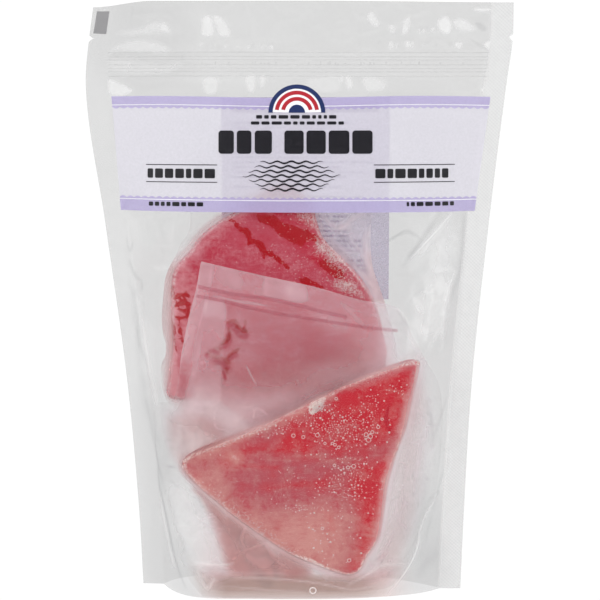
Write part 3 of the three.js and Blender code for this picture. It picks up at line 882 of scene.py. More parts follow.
# Floor: white acrylic, cast, lit from below so that it reads as clean pale ground without a horizon.
def acrylicMaterial():
    material, add = newMaterial("acrylicCastOpalWhite")
    diffuse = add("BsdfDiffuse", {"Color": (0.85, 0.85, 0.85, 1)})
    glow = add("Emission", {"Color": (1, 1, 1, 1), "Strength": surround["seenWhite"]})
    mixAndFinish(add, add("LightPath"), diffuse, glow)
    return material


def makeFloor():
    radius, sides, below = 9000 * mm, 96, 0.5 * mm
    rim = [(radius * math.cos(a), radius * math.sin(a), -below)
           for a in np.linspace(0, 2 * np.pi, sides, endpoint=False)]
    mesh = bpy.data.meshes.new("floor")
    mesh.from_pydata(rim, [], [list(range(len(rim)))])
    mesh.materials.append(acrylicMaterial())
    floor = bpy.data.objects.new("floor", mesh)
    bpy.context.scene.collection.objects.link(floor)


makeFloor()
print("materials and floor made")


# Steaks.
def patch(x, z, middle, half, turn, strength):
    # A soft patch: its middle, its half sizes, its turn in degrees and its strength.
    c, s = math.cos(math.radians(turn)), math.sin(math.radians(turn))
    u = (x - middle[0]) * c + (z - middle[1]) * s
    v = (z - middle[1]) * c - (x - middle[0]) * s
    return strength * (1 - smoothStep(0.4, 1.6, np.sqrt((u / half[0]) ** 2 + (v / half[1]) ** 2)))


def stroke(x, z, line):
    distance, along = pathDistance(smoothPath(line["line"], 2.0), x, z)
    taper = np.sin(np.pi * np.clip(along, 0.02, 0.98)) ** 0.5
    return line["strength"] * taper * np.exp(-((distance / line["width"]) ** 2))


def toneOf(x, z, tones, seed, warp=6):
    u, v = warped(x, z, seed, warp)
    total = np.zeros(np.shape(x))
    for spot in tones.get("patches", []):
        total = total + patch(u, v, *spot)
    fu, fv = warped(x, z, seed + 20, warp * 0.3)
    for line in tones.get("strokes", []):
        total = total + stroke(fu, fv, line)
    return total + areaShare(fu, fv, tones.get("areas", []))


def edgeMark(x, z, shapes):
    # How far inside drawn areas or beside drawn strokes a place is, in units of 1.4 mm, from -1 to 1.
    best = np.full(np.shape(x), -1.0)
    for outline in shapes.get("areas", []):
        away = insideDistance(smoothPath(outline, 1.5, closed=True), x, z)
        best = np.maximum(best, np.clip(away / 1.4, -1, 1))
    for line, width in shapes["strokes"]:
        distance, along = pathDistance(smoothPath(line, 2.0), x, z)
        half = width * np.sin(np.pi * np.clip(along, 0.03, 0.97)) ** 0.4
        best = np.maximum(best, np.clip((half - distance) / 1.4, -1, 1))
    return best


def makeSteak(name, steak, material, tones, faceRings=100, wallRings=9):
    around = smoothPath(steak["outline"], 0.95, closed=True)
    cx, cz = steak["middle"]
    reach = np.hypot(around[:, 0] - cx, around[:, 1] - cz)
    rim, taper, thickness = steak["rim"], steak["taper"], steak["thickness"]
    insets = rim * np.array([1.0, 0.72, 0.5, 0.33, 0.2, 0.1, 0.035])
    rows = []

    def addRow(scale, depthAt):
        # A ring shrunk towards the middle, with its depth from the function given.
        x, z = cx + (around[:, 0] - cx) * scale, cz + (around[:, 1] - cz) * scale
        rows.append(np.column_stack([x, depthAt(x, z), z]))

    def frontDepth(x, z):
        inside = np.maximum(insideDistance(around, x, z), 0)
        relief = faceRelief(steak, x, z) * smoothStep(0, rim, inside)
        return facePlane(steak, x, z) + rimDrop(steak, inside) - relief

    def backDepth(x, z):
        inside = np.maximum(insideDistance(around, x, z) - taper, 0)
        relief = faceRelief(steak, x, z) * smoothStep(0, rim, inside)
        return facePlane(steak, x, z) + thickness - rimDrop(steak, inside) + relief

    # Rings over the face, round its rim, down the sawn wall, and over the back.
    faceShares = np.concatenate([[0.003], np.linspace(0.02, 1, faceRings)])
    for share in faceShares:
        addRow((1 - insets[0] / reach) * share, frontDepth)
    for inset in insets[1:]:
        addRow(1 - inset / reach, frontDepth)
    edgeX, edgeZ = around[:, 0], around[:, 1]
    wallNoise = layeredNoise(edgeX + edgeZ, edgeZ - edgeX, 14, steak["seed"] + 9)
    for share in np.linspace(0, 1, wallRings):
        bulge = 0.4 * math.sin(math.pi * share) * (1 + wallNoise) - taper * share
        depth = facePlane(steak, edgeX, edgeZ) + rim + (thickness - 2 * rim) * share
        addRow(1 + bulge / reach, lambda x, z: depth)
    for inset in insets[:0:-1]:
        addRow(1 - (inset + taper) / reach, backDepth)
    for share in faceShares[::-2]:
        addRow((1 - (insets[0] + taper) / reach) * share, backDepth)
    points = np.array(rows)
    faces = gridFaces(len(rows), len(around), closed=True)
    last = len(rows) * len(around)
    faces.append(list(range(len(around)))[::-1])
    faces.append(list(range(last - len(around), last)))
    # The marks that colour the flesh.
    x, z = points[..., 0], points[..., 2]
    inside = insideDistance(steak["coarseLine"], x, z)
    seed = steak["seed"]
    row = np.arange(len(rows))[:, None] - len(faceShares) - len(insets)
    # The rim's frost is partly real ice and partly painted light, keeping the rounded rim bright where it
    # turns away.
    rimWidth = tones["rimWidth"] * (1 + 0.5 * layeredNoise(x, z, 9, seed + 31))
    rimFrostAndLight = toneOf(x, z, tones["rimFrostAndLightWhere"], seed + 40, 3) * smoothStep(rimWidth, 0.3 * rimWidth, inside)
    rimFrostAndLight = rimFrostAndLight * (1 - 0.6 * ((row >= 0) & (row < wallRings)))
    marks = {
        "deep": np.clip(tones["deepBase"] + toneOf(x, z, tones["deep"], seed + 50), 0, 1.3),
        "pale": np.clip(tones["paleBase"] + toneOf(x, z, tones["pale"], seed + 60), -0.5, 1),
        "wine": np.where(row < 0, edgeMark(*warped(x, z, seed + 65, 1.2), tones["wine"]), -1),
        "frost": np.clip(np.maximum(toneOf(x, z, tones["frost"], seed + 70, 3), rimFrostAndLight), 0, 1),
    }
    makePiece(name, points, faces, material, "steak", marks)


# Where the front bag's flap touches the rear steak, the flesh shows darker through it.
contactMarks = [
    ([(-38, 138.6), (-35.4, 139.5), (-32.9, 138.2), (-31.2, 135.2), (-27.3, 133.9), (-25.6, 133.5)], 1.7),
    ([(-28.2, 139.5), (-28.6, 137.3), (-29.2, 135.6)], 0.9),
    ([(-37.2, 136.1), (-36.3, 132.6), (-38.5, 129.2), (-41.5, 127.4)], 1.5),
    ([(-46.6, 125.7), (-43.6, 126.1), (-40.6, 124.4)], 1.1),
    ([(-46.6, 121.8), (-42.8, 121), (-39.3, 120.1), (-37.6, 117.9), (-35.5, 116.6)], 1.8),
    ([(-37.2, 121.4), (-35.1, 123.5), (-31.6, 125.3)], 1.3),
    ([(-47, 122.3), (-47.9, 124), (-46.9, 125.5)], 0.8),
    ([(-39.8, 116.2), (-38.5, 113.6), (-38.1, 111)], 0.8),
]
frontTones = {
    "deepBase": 0.16, "paleBase": 0.03, "rimWidth": 3.2,
    "deep": {"areas": [
        area([(-7.7, 90.3), (7.7, 97.2), (31.5, 109.2), (53.5, 117.8), (56.9, 114.4), (51.9, 97.2),
            (46.9, 83.4), (31.5, 75), (7.7, 76), (-7.7, 79)], 8, 0.72),
        area([(20, 100), (40, 113), (57, 119), (55, 102), (50, 88), (40, 84), (34, 94)], 6, 0.4),
        area([(28.9, 66.4), (38.3, 70.1), (45.1, 71.8), (44, 56), (40.1, 32), (31.6, 18.1), (25.8, 14.6),
            (30.2, 32), (30.1, 47.6)], 6, 0.95),
        area([(10, 60), (24, 64), (32, 60), (30, 50), (18, 54), (6, 56)], 4, 0.3),
        area([(-40.8, 72.4), (-25.5, 79.9), (-10.2, 83.5), (2.6, 79.6), (7.7, 73.1), (-6.4, 73.1),
            (-21.7, 71.8), (-31.9, 69.2), (-40.9, 67.9)], 4, 0.35),
        area([(-24.7, 60.3), (-7.7, 63.7), (12.8, 66.5), (29, 68.2), (29, 49.4), (11.1, 54.6), (-7.7, 51.2),
            (-21.3, 55.3)], 5, 0.04),
    ], "strokes": [
        streak([(-34.5, 67.9), (-21.7, 67.3), (-7.7, 66.6)], 1.3, 0.4),
        streak([(-19.2, 56.3), (-3.8, 58.9), (7.7, 58.9), (17.9, 61.5)], 2, 0.4),
        streak([(10, 47), (15, 41), (17.5, 33), (18, 27)], 1.2, 0.4),
        streak([(-25, 76), (-8, 77), (8, 76)], 1.2, 0.2),
    ]},
    "pale": {"areas": [
        area([(-60, 56), (-50, 43), (-34, 34), (-18, 24), (-4, 15), (12, 8), (22, 12), (26, 24),
            (24.7, 42.9), (12.8, 49.1), (0.9, 46.6), (-12.8, 43.4), (-29.8, 48.6), (-43.5, 58.3)], 12, 0.72),
        area([(-12, 42), (4, 44), (18, 44), (24, 34), (20, 20), (8, 18), (-6, 26)], 5, 0.12),
        area([(-68, 68.9), (-52, 78.2), (-36.9, 82.4), (-28.4, 76.2), (-31.8, 67.3), (-43.5, 57.4),
            (-58, 56)], 9, 0.36),
        area([(-38.3, 74.9), (-31.5, 75.8), (-28.1, 71.5), (-33.2, 68), (-36.6, 70.6)], 2, 0.3),
    ], "strokes": [
        streak([(-57, 71), (-43.4, 77.3), (-25.5, 85), (-10.2, 91.5), (5.1, 99.2), (20.4, 106.8)], 2.8, 0.7),
        streak([(20.4, 107.4), (38, 115.2), (56, 121)], 2.2, 0.7),
        streak([(5, 40), (6, 32), (9, 24)], 1.6, 0.15),
        streak([(-23, 69.7), (4.3, 72.3), (28.1, 71.5), (45.2, 72.3)], 1.8, 0.16),
        # Painted light: the broad pale streak along the thin right edge is a glow where light comes through.
        streak([(60.6, 119), (57.4, 103), (53.9, 87.6), (50, 77), (46.6, 66.6), (44.3, 56.3), (42.6, 44.6),
            (40.6, 33), (36, 23), (31, 15.5)], 3.6, 0.9),
        streak([(-60, 62), (-44, 48), (-24, 33), (-6, 20), (12, 11), (22, 12)], 3, 0.5),
    ]},
    "wine": {"strokes": [
        ([(46, 100), (44, 92), (47, 84)], 0.8),
    ]},
    "frost": {"areas": [
        area([(4.5, 98.9), (7.6, 102.2), (12.7, 103.5), (13.4, 101.5), (9.6, 98.3), (7, 93.8), (5.7, 94)],
            0.9, 1),
        area([(-36.4, 74.4), (-31.9, 73.8), (-30, 70.5), (-33.8, 69.2)], 2, 0.35),
    ], "strokes": [
        streak([(-58, 69), (-43.4, 76.8), (-25.5, 84.6), (-10.2, 91), (5.1, 98.8), (12, 102.5)], 1.5, 0.5),
        streak([(12, 102.5), (25.5, 109.2), (38.2, 114.6), (52, 119)], 1.2, 0.25),
    ]},
    "rimFrostAndLightWhere": {"patches": [
        ((-20, 40), (56, 26), -38, 0.52),
        ((50, 66), (14, 74), -14, 0.46),
        ((22, 14), (34, 14), 0, 0.5),
        ((0, 98), (90, 14), 24, 0.5),
    ]},
}
rearTones = {
    "deepBase": 0.30, "paleBase": -0.05, "rimWidth": 3.0,
    "deep": {"areas": [
        area([(-22, 205), (-24, 196), (-12, 188), (2, 176), (8, 178), (6, 190), (0, 204)], 4, 0.45),
        area([(-66, 158), (-58, 156), (-54, 140), (-56, 120), (-66, 120)], 5, 0.12),
        area([(7.7, 175.9), (14.9, 171.7), (24.6, 161.2), (20, 160), (12, 166), (4, 172)], 2.5, 0.6),
        area([(-36, 112), (-20, 118), (0, 114), (24, 104), (20, 98), (-10, 103)], 7, 0.5),
        area([(26, 140), (36, 148), (42, 130), (40, 110), (30, 104)], 5, 0.45),
    ], "strokes": [
        streak([(-58, 160), (-48, 172), (-38, 180)], 3, 0.2),
    ]},
    "pale": {"areas": [
        area([(-61.8, 171.4), (-55.3, 178.2), (-48.9, 185.6), (-42.4, 191.4), (-36, 195.5), (-28, 196),
            (-34, 189), (-44, 181), (-54, 172), (-60, 166)], 3.5, 0.45),
        area([(-46, 168), (-28, 172), (-12, 166), (4, 168), (12, 176), (0, 172), (-20, 176), (-38, 178)], 5,
            0.2),
        area([(-70, 112), (-64, 112), (-62, 98), (-70, 96)], 3, 0.3),
        area([(-70, 174), (-62, 170), (-52, 162), (-54, 140), (-60, 110), (-70, 100)], 4, 0.5),
        area([(-70, 156), (-64.6, 156), (-64.4, 130), (-64.4, 98), (-71, 98)], 1.8, 0.8),
    ], "strokes": [
        streak([(-24, 201), (-12, 204), (-2, 200)], 3, 0.3),
    ]},
    "wine": {"areas": [
        [(-23.1, 195.2), (-16.3, 194.7), (-9.4, 192.1), (-2.6, 190.0), (4.3, 186.6), (8.8, 184.4),
         (11.0, 181.4), (8.1, 179.5), (5.9, 181.4), (3.5, 181), (0.9, 178.8), (-3.4, 180.1),
         (-9.4, 184.4), (-15.4, 188.7), (-21.4, 192.6)],
        [(11.8, 171.6), (16.9, 169.4), (22.1, 165.7), (22.1, 161.9), (18.4, 162.7), (15.5, 164.2),
         (9.6, 170.1)],
        [(-1.8, 162.7), (2.2, 162.3), (9.6, 159.0), (12.5, 156.8), (5.9, 158.2), (-0.7, 159.7)],
    ], "strokes": [
        ([(-37.7, 192.4), (-35.1, 192), (-32.6, 189.4), (-29.2, 187.2), (-26.6, 185.5), (-25.3, 182.7),
            (-22.7, 182.1), (-20.2, 179.5), (-18, 176.4), (-14.6, 174.3), (-12, 171.7), (-9.4, 169.5),
            (-6.9, 167.8)], 1.7),
        ([(-31, 187.4), (-26.6, 188)], 1.2),
        ([(-25.5, 184.6), (-25.7, 180.2)], 1.2),
        ([(-17.7, 175.6), (-18.8, 172.2)], 1),
        ([(-62.1, 140), (-62, 136.5), (-61.4, 133.1), (-60.9, 129.6), (-60, 127)], 0.9),
        ([(-67, 158), (-65.4, 155.6), (-66, 153)], 0.9),
        ([(-66, 150.4), (-63, 151.8), (-60.4, 153.8), (-57.6, 152.6)], 1.3),
        ([(-65, 147.4), (-61.4, 149.6), (-57, 148.6)], 1.5),
        ([(-62.6, 145.6), (-59.2, 145.2), (-56.6, 147)], 1.1),
        ([(-65.6, 142.6), (-62, 141.4), (-58.8, 141.2)], 1.1),
        ([(-60, 152), (-58.4, 146), (-58.8, 141)], 1),
        ([(-66.5, 141), (-64.8, 136), (-65.4, 130), (-64, 124)], 0.7),
    ] + [(line, 0.8 * width) for line, width in contactMarks]},
    "frost": {"areas": [
        area([(-2.2, 199.1), (3.7, 199.4), (8.8, 197.4), (9.5, 189), (5.9, 189), (2.2, 191.9),
            (-0.7, 193.4)], 3, 0.34),
        area([(8.8, 183.3), (13.2, 180.3), (19.1, 175.2), (24.3, 171.5), (19.1, 170.2), (12.5, 174.7),
            (8.1, 176.9)], 2.5, 0.36),
        area([(14.7, 159), (20.6, 161.2), (25.8, 161.2), (30.2, 156.8), (33.2, 151.6), (26.5, 154.5),
            (19.2, 155.3)], 2.5, 0.42),
        area([(-6, 198), (12, 192), (30, 170), (38, 150), (28, 152), (4, 176), (-10, 190)], 5, 0.2),
    ], "strokes": [
        streak([(-61, 172), (-55, 179), (-48, 186), (-41, 192)], 2.2, 0.45),
        streak([(8.1, 189.3), (12.5, 182.7), (17.7, 176), (22.8, 170.1), (27.3, 165.7), (31.7, 159.7),
            (36.1, 153.8), (39.1, 147.8), (42.1, 137.4)], 0.7, 0.6),
        streak([(-68.4, 160), (-67.4, 150), (-67.2, 130), (-67, 118), (-68, 102)], 1.8, 0.8),
    ]},
    "rimFrostAndLightWhere": {"patches": [
        ((-40, 140), (60, 110), 0, 0.6),
        ((40, 150), (40, 90), 0, 0.3),
    ]},
}
makeSteak("frontSteak", frontSteak, frontFlesh, frontTones)
makeSteak("rearSteak", rearSteak, rearFlesh, rearTones)
print("steaks made")


# Outer film.
def hatchShare(x, z):
    # The welded margins carry a pressed diagonal hatch, deepest low on the left.
    depth = np.where(x < 0, 0.9 + 0.7 * smoothStep(70, 40, z), 0.45)
    return depth * smoothStep(0.985, 1.0, np.abs(acrossShare(x, z))) * (np.abs(x) > 40)


def edgeX(share, z):
    # share runs from 0 at the left edge to 1 at the right edge, with the tear notches cut in.
    left, right = -leftDistance(z), rightDistance(z)
    bite = np.clip(1 - np.abs(z - pouch["notchHeight"]) / (pouch["notchMouth"] / 2), 0, 1)
    left, right = left + bite * pouch["notchDepth"], right - bite * pouch["notchDepth"]
    return left + (right - left) * share


filmMesh = {"columns": 236, "rows": 330, "backColumns": 160, "backRows": 220}


def filmMarks(x, z):
    _, haze, shade = creaseMarks(outerCreases, x, z)
    contact = smoothStep(-2, 3, readField(frontInside, x, z))
    clean = np.maximum(contact, smoothStep(-6, 4, readField(rearInside, x, z)))
    folds = sharpFolds(x, z, 13, 73) ** 3
    cloud = np.clip(layeredNoise(x, z, 16, 77), 0, 1)
    haze = haze + areaShare(x, z, outerPaintedHighlights, 1.6, 79) + (0.04 * folds + 0.05 * cloud) * (1 - clean)
    seal = smoothStep(0.985, 1.0, np.abs(acrossShare(x, z)))
    haze = haze * (1 - seal) + seal * np.where(x > 0, 0.26, 0.04)
    # Painted shade: the belly darker than the header, most at the right, and the drawn darker patches.
    right = smoothStep(40, 80, x) * (1 - 0.9 * smoothStep(138, 116, z) * smoothStep(30, 50, z))
    belly = smoothStep(258, 240, z) * (0.08 + 0.09 * right) * (1 - clean) * (1 - seal)
    shade = shade + belly + 0.035 * seal + areaShare(x, z, outerPaintedShade)
    return np.clip(haze - 0.03 * contact, -0.035, 1), np.clip(shade, 0, 1)


def makeFrontFilm():
    share, z = np.meshgrid(np.linspace(0, 1, filmMesh["columns"]),
                           np.linspace(0, pouch["height"], filmMesh["rows"]))
    x = edgeX(share, z)
    points = np.stack([x, frontFilmDepth(x, z), settledHeight(x, z)], axis=-1)
    # Juice gathers low in the pouch.
    low = smoothStep(60, 10, z) * smoothStep(3, -8, readField(frontInside, x, z))
    low = low * smoothStep(60, 40, np.abs(x))
    low = low + 0.6 * smoothStep(16, 10, z) * smoothStep(60, 40, np.abs(x - 4))
    haze, shade = filmMarks(x, z)
    marks = {"haze": haze, "shade": shade, "juice": 0.3 * low, "hatch": hatchShare(x, z)}
    makePiece("pouchFrontFilm", points, gridFaces(*x.shape), outerFilm, "film", marks)


def backFilmDepth(x, z):
    sway = softNoise(x, z * 0.8, 19, 81) + 0.5 * softNoise(x, z, 9, 82)
    folds = sharpFolds(x, z, 15, 83) - 0.3
    inner = smoothStep(1.0, 0.9, np.abs(acrossShare(x, z)))
    amount = 0.3 * inner * (1 - 0.8 * smoothStep(262, 266, z) * (1 - smoothStep(277, 279, z)))
    amount = amount * (1 - 0.6 * smoothStep(-2, 6, readField(rearInside, x, z)))
    return readField(backField, x, z) + 0.5 * zipRidge(x, z) + amount * (1.2 * sway + folds)


def makeBackFilm():
    share, z = np.meshgrid(np.linspace(0, 1, filmMesh["backColumns"]),
                           np.linspace(0, pouch["height"], filmMesh["backRows"]))
    x = edgeX(share, z)
    points = np.stack([x, backFilmDepth(x, z), settledHeight(x, z)], axis=-1)
    folds = sharpFolds(x, z, 15, 83) ** 3
    marks = {"haze": 0.04 * folds, "shade": 0 * x, "juice": 0 * x, "hatch": 0 * x}
    faces = [face[::-1] for face in gridFaces(*x.shape)]
    makePiece("pouchBackFilm", points, faces, outerFilm, "film", marks)


def weldHeight(x):
    # Height of the gusset's weld at a place across the base.
    rightX, rightZ = np.array(gussetWeld["right"])[::-1].T
    leftX, leftZ = np.array(gussetWeld["left"])[::-1].T
    right = np.interp(x, rightX, rightZ)
    left = np.interp(-x, -leftX, leftZ)
    return np.where(x > 0, right, left) * (np.abs(x) > 40)


def makeGussetFilm():
    xLine = np.linspace(-70.8, 72.3, 190)
    share, x = np.meshgrid(np.linspace(0, 1, 44), xLine)
    foldHeight = weldHeight(x)
    yFront = readField(frontField, x, foldHeight) + 0.25
    yBack = readField(backField, x, foldHeight) - 0.25
    y = yFront + (yBack - yFront) * share
    crumples = 0.5 * softNoise(x, y, 12, 91) + 0.5 * (sharpFolds(x, y, 11, 92))
    z = foldHeight + 0.15 + np.sin(np.pi * share) * (1.2 + crumples)
    points = np.stack([x, y, z], axis=-1)
    pool = smoothStep(56, 32, np.abs(x + 6))
    juice = 0.85 * pool * np.sin(np.pi * share) ** 0.5
    marks = {"haze": 0.05 * pool, "shade": 0 * x, "juice": juice, "hatch": 0 * x}
    makePiece("pouchGussetFilm", points, gridFaces(*x.shape), gussetFilm, "film", marks)


makeFrontFilm()
makeBackFilm()
makeGussetFilm()
print("outer film made")


# Prints on the film.
def makePrint(name, grids, material, gap=0.14, onBack=False):
    # One piece from several printed shapes, each a grid of (x, height) places just off the film.
    sheets = []
    for grid in grids:
        x, z = grid[..., 0], grid[..., 1]
        y = backFilmDepth(x, z) + gap if onBack else frontFilmDepth(x, z) - gap
        sheets.append(np.stack([x, y, settledHeight(x, z)], axis=-1))
    makePiece(name, *joined(sheets), material, "print")


def cornerPlace(corners, u, v):
    # A place in a four-cornered field: u from left to right, v from bottom to top, both from 0 to 1.
    a, b, c, d = (np.array(corners[k]) for k in ("bottomLeft", "bottomRight", "topLeft", "topRight"))
    u, v = u[..., None], v[..., None]
    return (a * (1 - u) + b * u) * (1 - v) + (c * (1 - u) + d * u) * v


bandCorners = {"topLeft": (-96.8, 255.4), "topRight": (97.8, 255.4), "bottomLeft": (-92.4, 197.1),
               "bottomRight": (90.1, 196.6)}
band = {"width": 186, "height": 58.5, "topStripe": 6.6, "bottomStripe": 8.0, "scallop": 3.8,
        "scallopRise": 0.9, "line": 0.45, "columns": 260, "scallopColumns": 700}


def bandStrip(low, high, rows, columns=band["columns"], lowScallop=0, highScallop=0):
    # A strip of the band from v = low to v = high, either edge scalloped.
    share, u = np.meshgrid(np.linspace(0, 1, rows), np.linspace(0, 1, columns))
    lobes = np.abs(np.sin(np.pi * u * (band["width"] / band["scallop"])))
    lobes = lobes * band["scallopRise"] / band["height"]
    v = (low + lowScallop * lobes) * (1 - share) + (high + highScallop * lobes) * share
    places = cornerPlace(bandCorners, u, v)
    places[..., 1] += 0.5 * np.sin(u * 9 + 0.5) * v
    return places


def makeBand():
    tall, columns = band["height"], band["scallopColumns"]
    lowStripe, highStripe = band["bottomStripe"] / tall, 1 - band["topStripe"] / tall
    line = band["line"] / tall
    makePrint("bandGround", [bandStrip(0, 1, 64, 200)], groundInk, 0.12)
    makePrint("bandStripes", [bandStrip(0, lowStripe - 1.2 / tall, 12, columns, highScallop=1),
                              bandStrip(highStripe + 1.2 / tall, 1, 12, columns, lowScallop=-1)],
              lavenderInk, 0.2)
    makePrint("bandLines", [bandStrip(level, level + line, 3)
                            for level in (lowStripe - 2.2 / tall, highStripe + 2.0 / tall)], lineInk, 0.28)


def roundedBlock(left, right, low, high, corner, rows, columns):
    # A block with rounded ends as a grid of (x, height) places.
    x = left + (right - left) * ((1 - np.cos(np.linspace(0, np.pi, columns))) / 2)
    fromEnd = np.minimum(x - left, right - x)
    cut = corner - np.sqrt(np.clip(corner**2 - np.clip(corner - fromEnd, 0, corner) ** 2, 0, None))
    share, across = np.meshgrid(np.linspace(0, 1, rows), x)
    lows, highs = (low + cut)[:, None], (high - cut)[:, None]
    return np.stack([across, lows + (highs - lows) * share], axis=-1)


def blockRow(rng, left, right, low, high, widths, gap, corner, rows, columns, spare=1):
    # Blocks of random width in a row, up to the right end.
    blocks, x = [], left
    while x < right - spare:
        end = min(x + rng.uniform(*widths), right)
        blocks.append(roundedBlock(x, end, low, high, corner, rows, columns))
        x = end + gap
    return blocks


def arcBand(centre, inner, outer, fromAngle, toAngle, rows, columns):
    share, angle = np.meshgrid(np.linspace(0, 1, rows), np.radians(np.linspace(fromAngle, toAngle, columns)))
    radius = inner + (outer - inner) * share
    x, z = radius * np.cos(angle), radius * np.sin(angle) * 0.98
    return np.stack([centre[0] + x, centre[1] + z], axis=-1)


def waveStrip(left, right, level, rise, length, thick, phase, columns):
    x = np.linspace(left, right, columns)
    middle = level + rise * np.sin(2 * np.pi * (x - left) / length + phase)
    half = thick / 2 * np.sin(np.pi * (x - left) / (right - left)) ** 0.5
    share, across = np.meshgrid(np.linspace(0, 1, 4), x)
    return np.stack([across, (middle - half)[:, None] + (2 * half)[:, None] * share], axis=-1)


badge = {"centre": (-1.6, 247.4), "radius": 14.6,
         "rows": [(301, 244.4, 246.2, -22.5, 20.5), (302, 241.4, 243.0, -25.2, 22.5)]}
title = {"low": 226.6, "high": 238.4, "blocks": [(-41.8, -33.9), (-32.4, -24.9), (-23.2, -14.4),
                                                 (-8, 1.9), (3.3, 13.2), (14.7, 25.3), (26.8, 37.2)]}
motif = {"left": -29.6, "right": 20.9, "low": 208.5, "lines": 7, "gap": 2.3}
claims = {"spans": [(-79.1, -42.4), (37.8, 79.6)], "seeds": (311, 317), "low": 211.9, "high": 221.1}
footnotes = {"spans": [(-77.7, -48), (54.7, 79.2)], "seeds": (331, 337), "level": 200.9}


def makeBadge():
    centre, radius = badge["centre"], badge["radius"]
    makePrint("badgeDisc", [arcBand(centre, 0.05, radius, 2, 178, 14, 72)], pureWhiteInk, 0.34)
    makePrint("badgeNavy", [arcBand(centre, radius - 2.2, radius, 0, 180, 4, 72),
                            arcBand(centre, 0.05, 4.2, 0, 180, 5, 32)], navyInk, 0.42)
    makePrint("badgeRed", [arcBand(centre, radius - 5.2, radius - 3.2, 8, 172, 4, 64),
                           arcBand(centre, radius - 8.4, radius - 6.4, 12, 168, 4, 48)], redInk, 0.42)
    blocks = []
    for seed, low, high, left, right in badge["rows"]:
        rng = np.random.default_rng(seed)
        blocks += blockRow(rng, left, right, low, high, (1.6, 5.2), 1.1, 0.4, 4, 8)
    makePrint("badgeRows", blocks, blackInk, 0.34)


def makeMotif():
    # Engraved waves: thin swelling lines, longest in the middle row.
    grids = []
    middle, reach = (motif["left"] + motif["right"]) / 2, (motif["right"] - motif["left"]) / 2
    for i in range(motif["lines"]):
        half = reach * (0.5 + 0.5 * (1 - abs(i - 3) / 4.2))
        level = motif["low"] + i * motif["gap"]
        grids.append(waveStrip(middle - half, middle + half, level, 0.55, 7.4, 0.95, i * 1.1, 110))
    makePrint("waveMotif", grids, blackInk, 0.34)


def makeClaims():
    grids = []
    low, high, level = claims["low"], claims["high"], footnotes["level"]
    for seed, (left, right) in zip(claims["seeds"], claims["spans"]):
        grids += [roundedBlock(left, right, line, line + 0.4, 0.1, 2, 40) for line in (low, high - 0.4)]
        grids += blockRow(np.random.default_rng(seed), left + 0.8, right - 0.6, low + 2.2, high - 2.2,
                          (2.4, 5.4), 1.0, 0.6, 5, 10, spare=2.4)
    for seed, (left, right) in zip(footnotes["seeds"], footnotes["spans"]):
        grids += blockRow(np.random.default_rng(seed), left, right, level - 1.1, level + 1.0, (1.2, 4.2),
                          0.9, 0.4, 4, 8)
    makePrint("claimMarks", grids, blackInk, 0.34)


def makeTitle():
    low, high = title["low"], title["high"]
    grids = [roundedBlock(left, right, low, high, 1.6, 8, 24) for left, right in title["blocks"]]
    makePrint("titleBlocks", grids, blackInk, 0.34)


backPanel = {"left": -40.7, "right": 46.4, "low": 148.2, "high": 255}


def makeBackPanel():
    left, right, low, high = (backPanel[k] for k in ("left", "right", "low", "high"))
    share, x = np.meshgrid(np.linspace(0, 1, 120), np.linspace(left, right, 100))
    makePrint("backPanel", [np.stack([x, low + (high - low) * share], axis=-1)], backInk, 0.12, onBack=True)
    rng = np.random.default_rng(401)
    level = high - 8
    rules = [roundedBlock(left + 6, right - 6, level, level + 4.5, 1.0, 6, 30)]
    level -= 6
    while level > low + 6:
        end = right - 6 - rng.uniform(0, 22)
        rules += blockRow(rng, left + 6, end, level, level + 1.2, (2.5, 9), 1.2, 0.4, 3, 6, spare=2)
        level -= 2.6 if rng.uniform() > 0.14 else 5.2
    makePrint("backPanelRules", rules, backRuleInk, 0.26, onBack=True)


registration = {"bottomLeft": (-105.6, 289.2), "bottomRight": (-99, 288.6), "topLeft": (-103.6, 302.4),
                "topRight": (-97.2, 301.8)}


def makeRegistration():
    v, u = np.meshgrid(np.linspace(0, 1, 14), np.linspace(0, 1, 9))
    makePrint("registrationMark", [cornerPlace(registration, u, v)], greyInk)


makeBand()
makeTitle()
makeBadge()
makeMotif()
makeClaims()
makeBackPanel()
makeRegistration()
print("prints made")


# Inner bags.
frontBag = {
    "outline": [(-51.0, 170.6), (-50.7, 171.6), (-49.6, 171.4), (-34, 168), (-18, 164.5), (9.7, 158.5),
        (30, 152.6), (50.6, 147.5), (57.5, 134), (64.5, 121.5), (71.5, 108), (74, 92), (73, 70), (70.5, 52),
        (65, 38), (59.5, 22), (53, 10), (46, 4), (20, 3), (-10, 3), (-44, 3.4), (-52, 6), (-58.5, 16),
        (-62.5, 28), (-66.5, 40), (-70.5, 51), (-74, 62), (-76, 80), (-75, 96), (-65.8, 99.8), (-61, 124),
        (-57.4, 142), (-53.3, 157.8)],
    "middle": (2, 86), "spacing": 1.25, "rings": 80, "flapGap": 1.0, "sideGap": 3.0,
    "haze": 0.16, "edge": 0.05, "fade": 12, "bend": 0.38, "bendReach": 2.8, "seed": 131,
}
rearBag = {
    "outline": [(-52, 226), (-57.4, 186), (-61.5, 179.4), (-64.6, 172.5), (-67.2, 168), (-69.7, 161.8),
        (-71, 151.7), (-71.9, 139.7), (-71.3, 131.4), (-69.9, 127), (-70.4, 119.4), (-72.3, 115.6),
        (-72.4, 108), (-70.9, 100.4), (-68, 94), (-56, 84), (-30, 60), (8, 50), (38, 62), (50, 96),
        (50.5, 122), (46, 142), (41, 157), (37.5, 168), (36.5, 186), (37, 226)],
    "middle": (-12, 140), "spacing": 1.25, "rings": 80, "haze": 0.05, "edge": 0.05, "fade": 6,
    "bend": 0.36, "bendReach": 3.2, "seed": 151,
}
for bag in (frontBag, rearBag):
    bag["line"] = smoothPath(bag["outline"], bag["spacing"], closed=True)

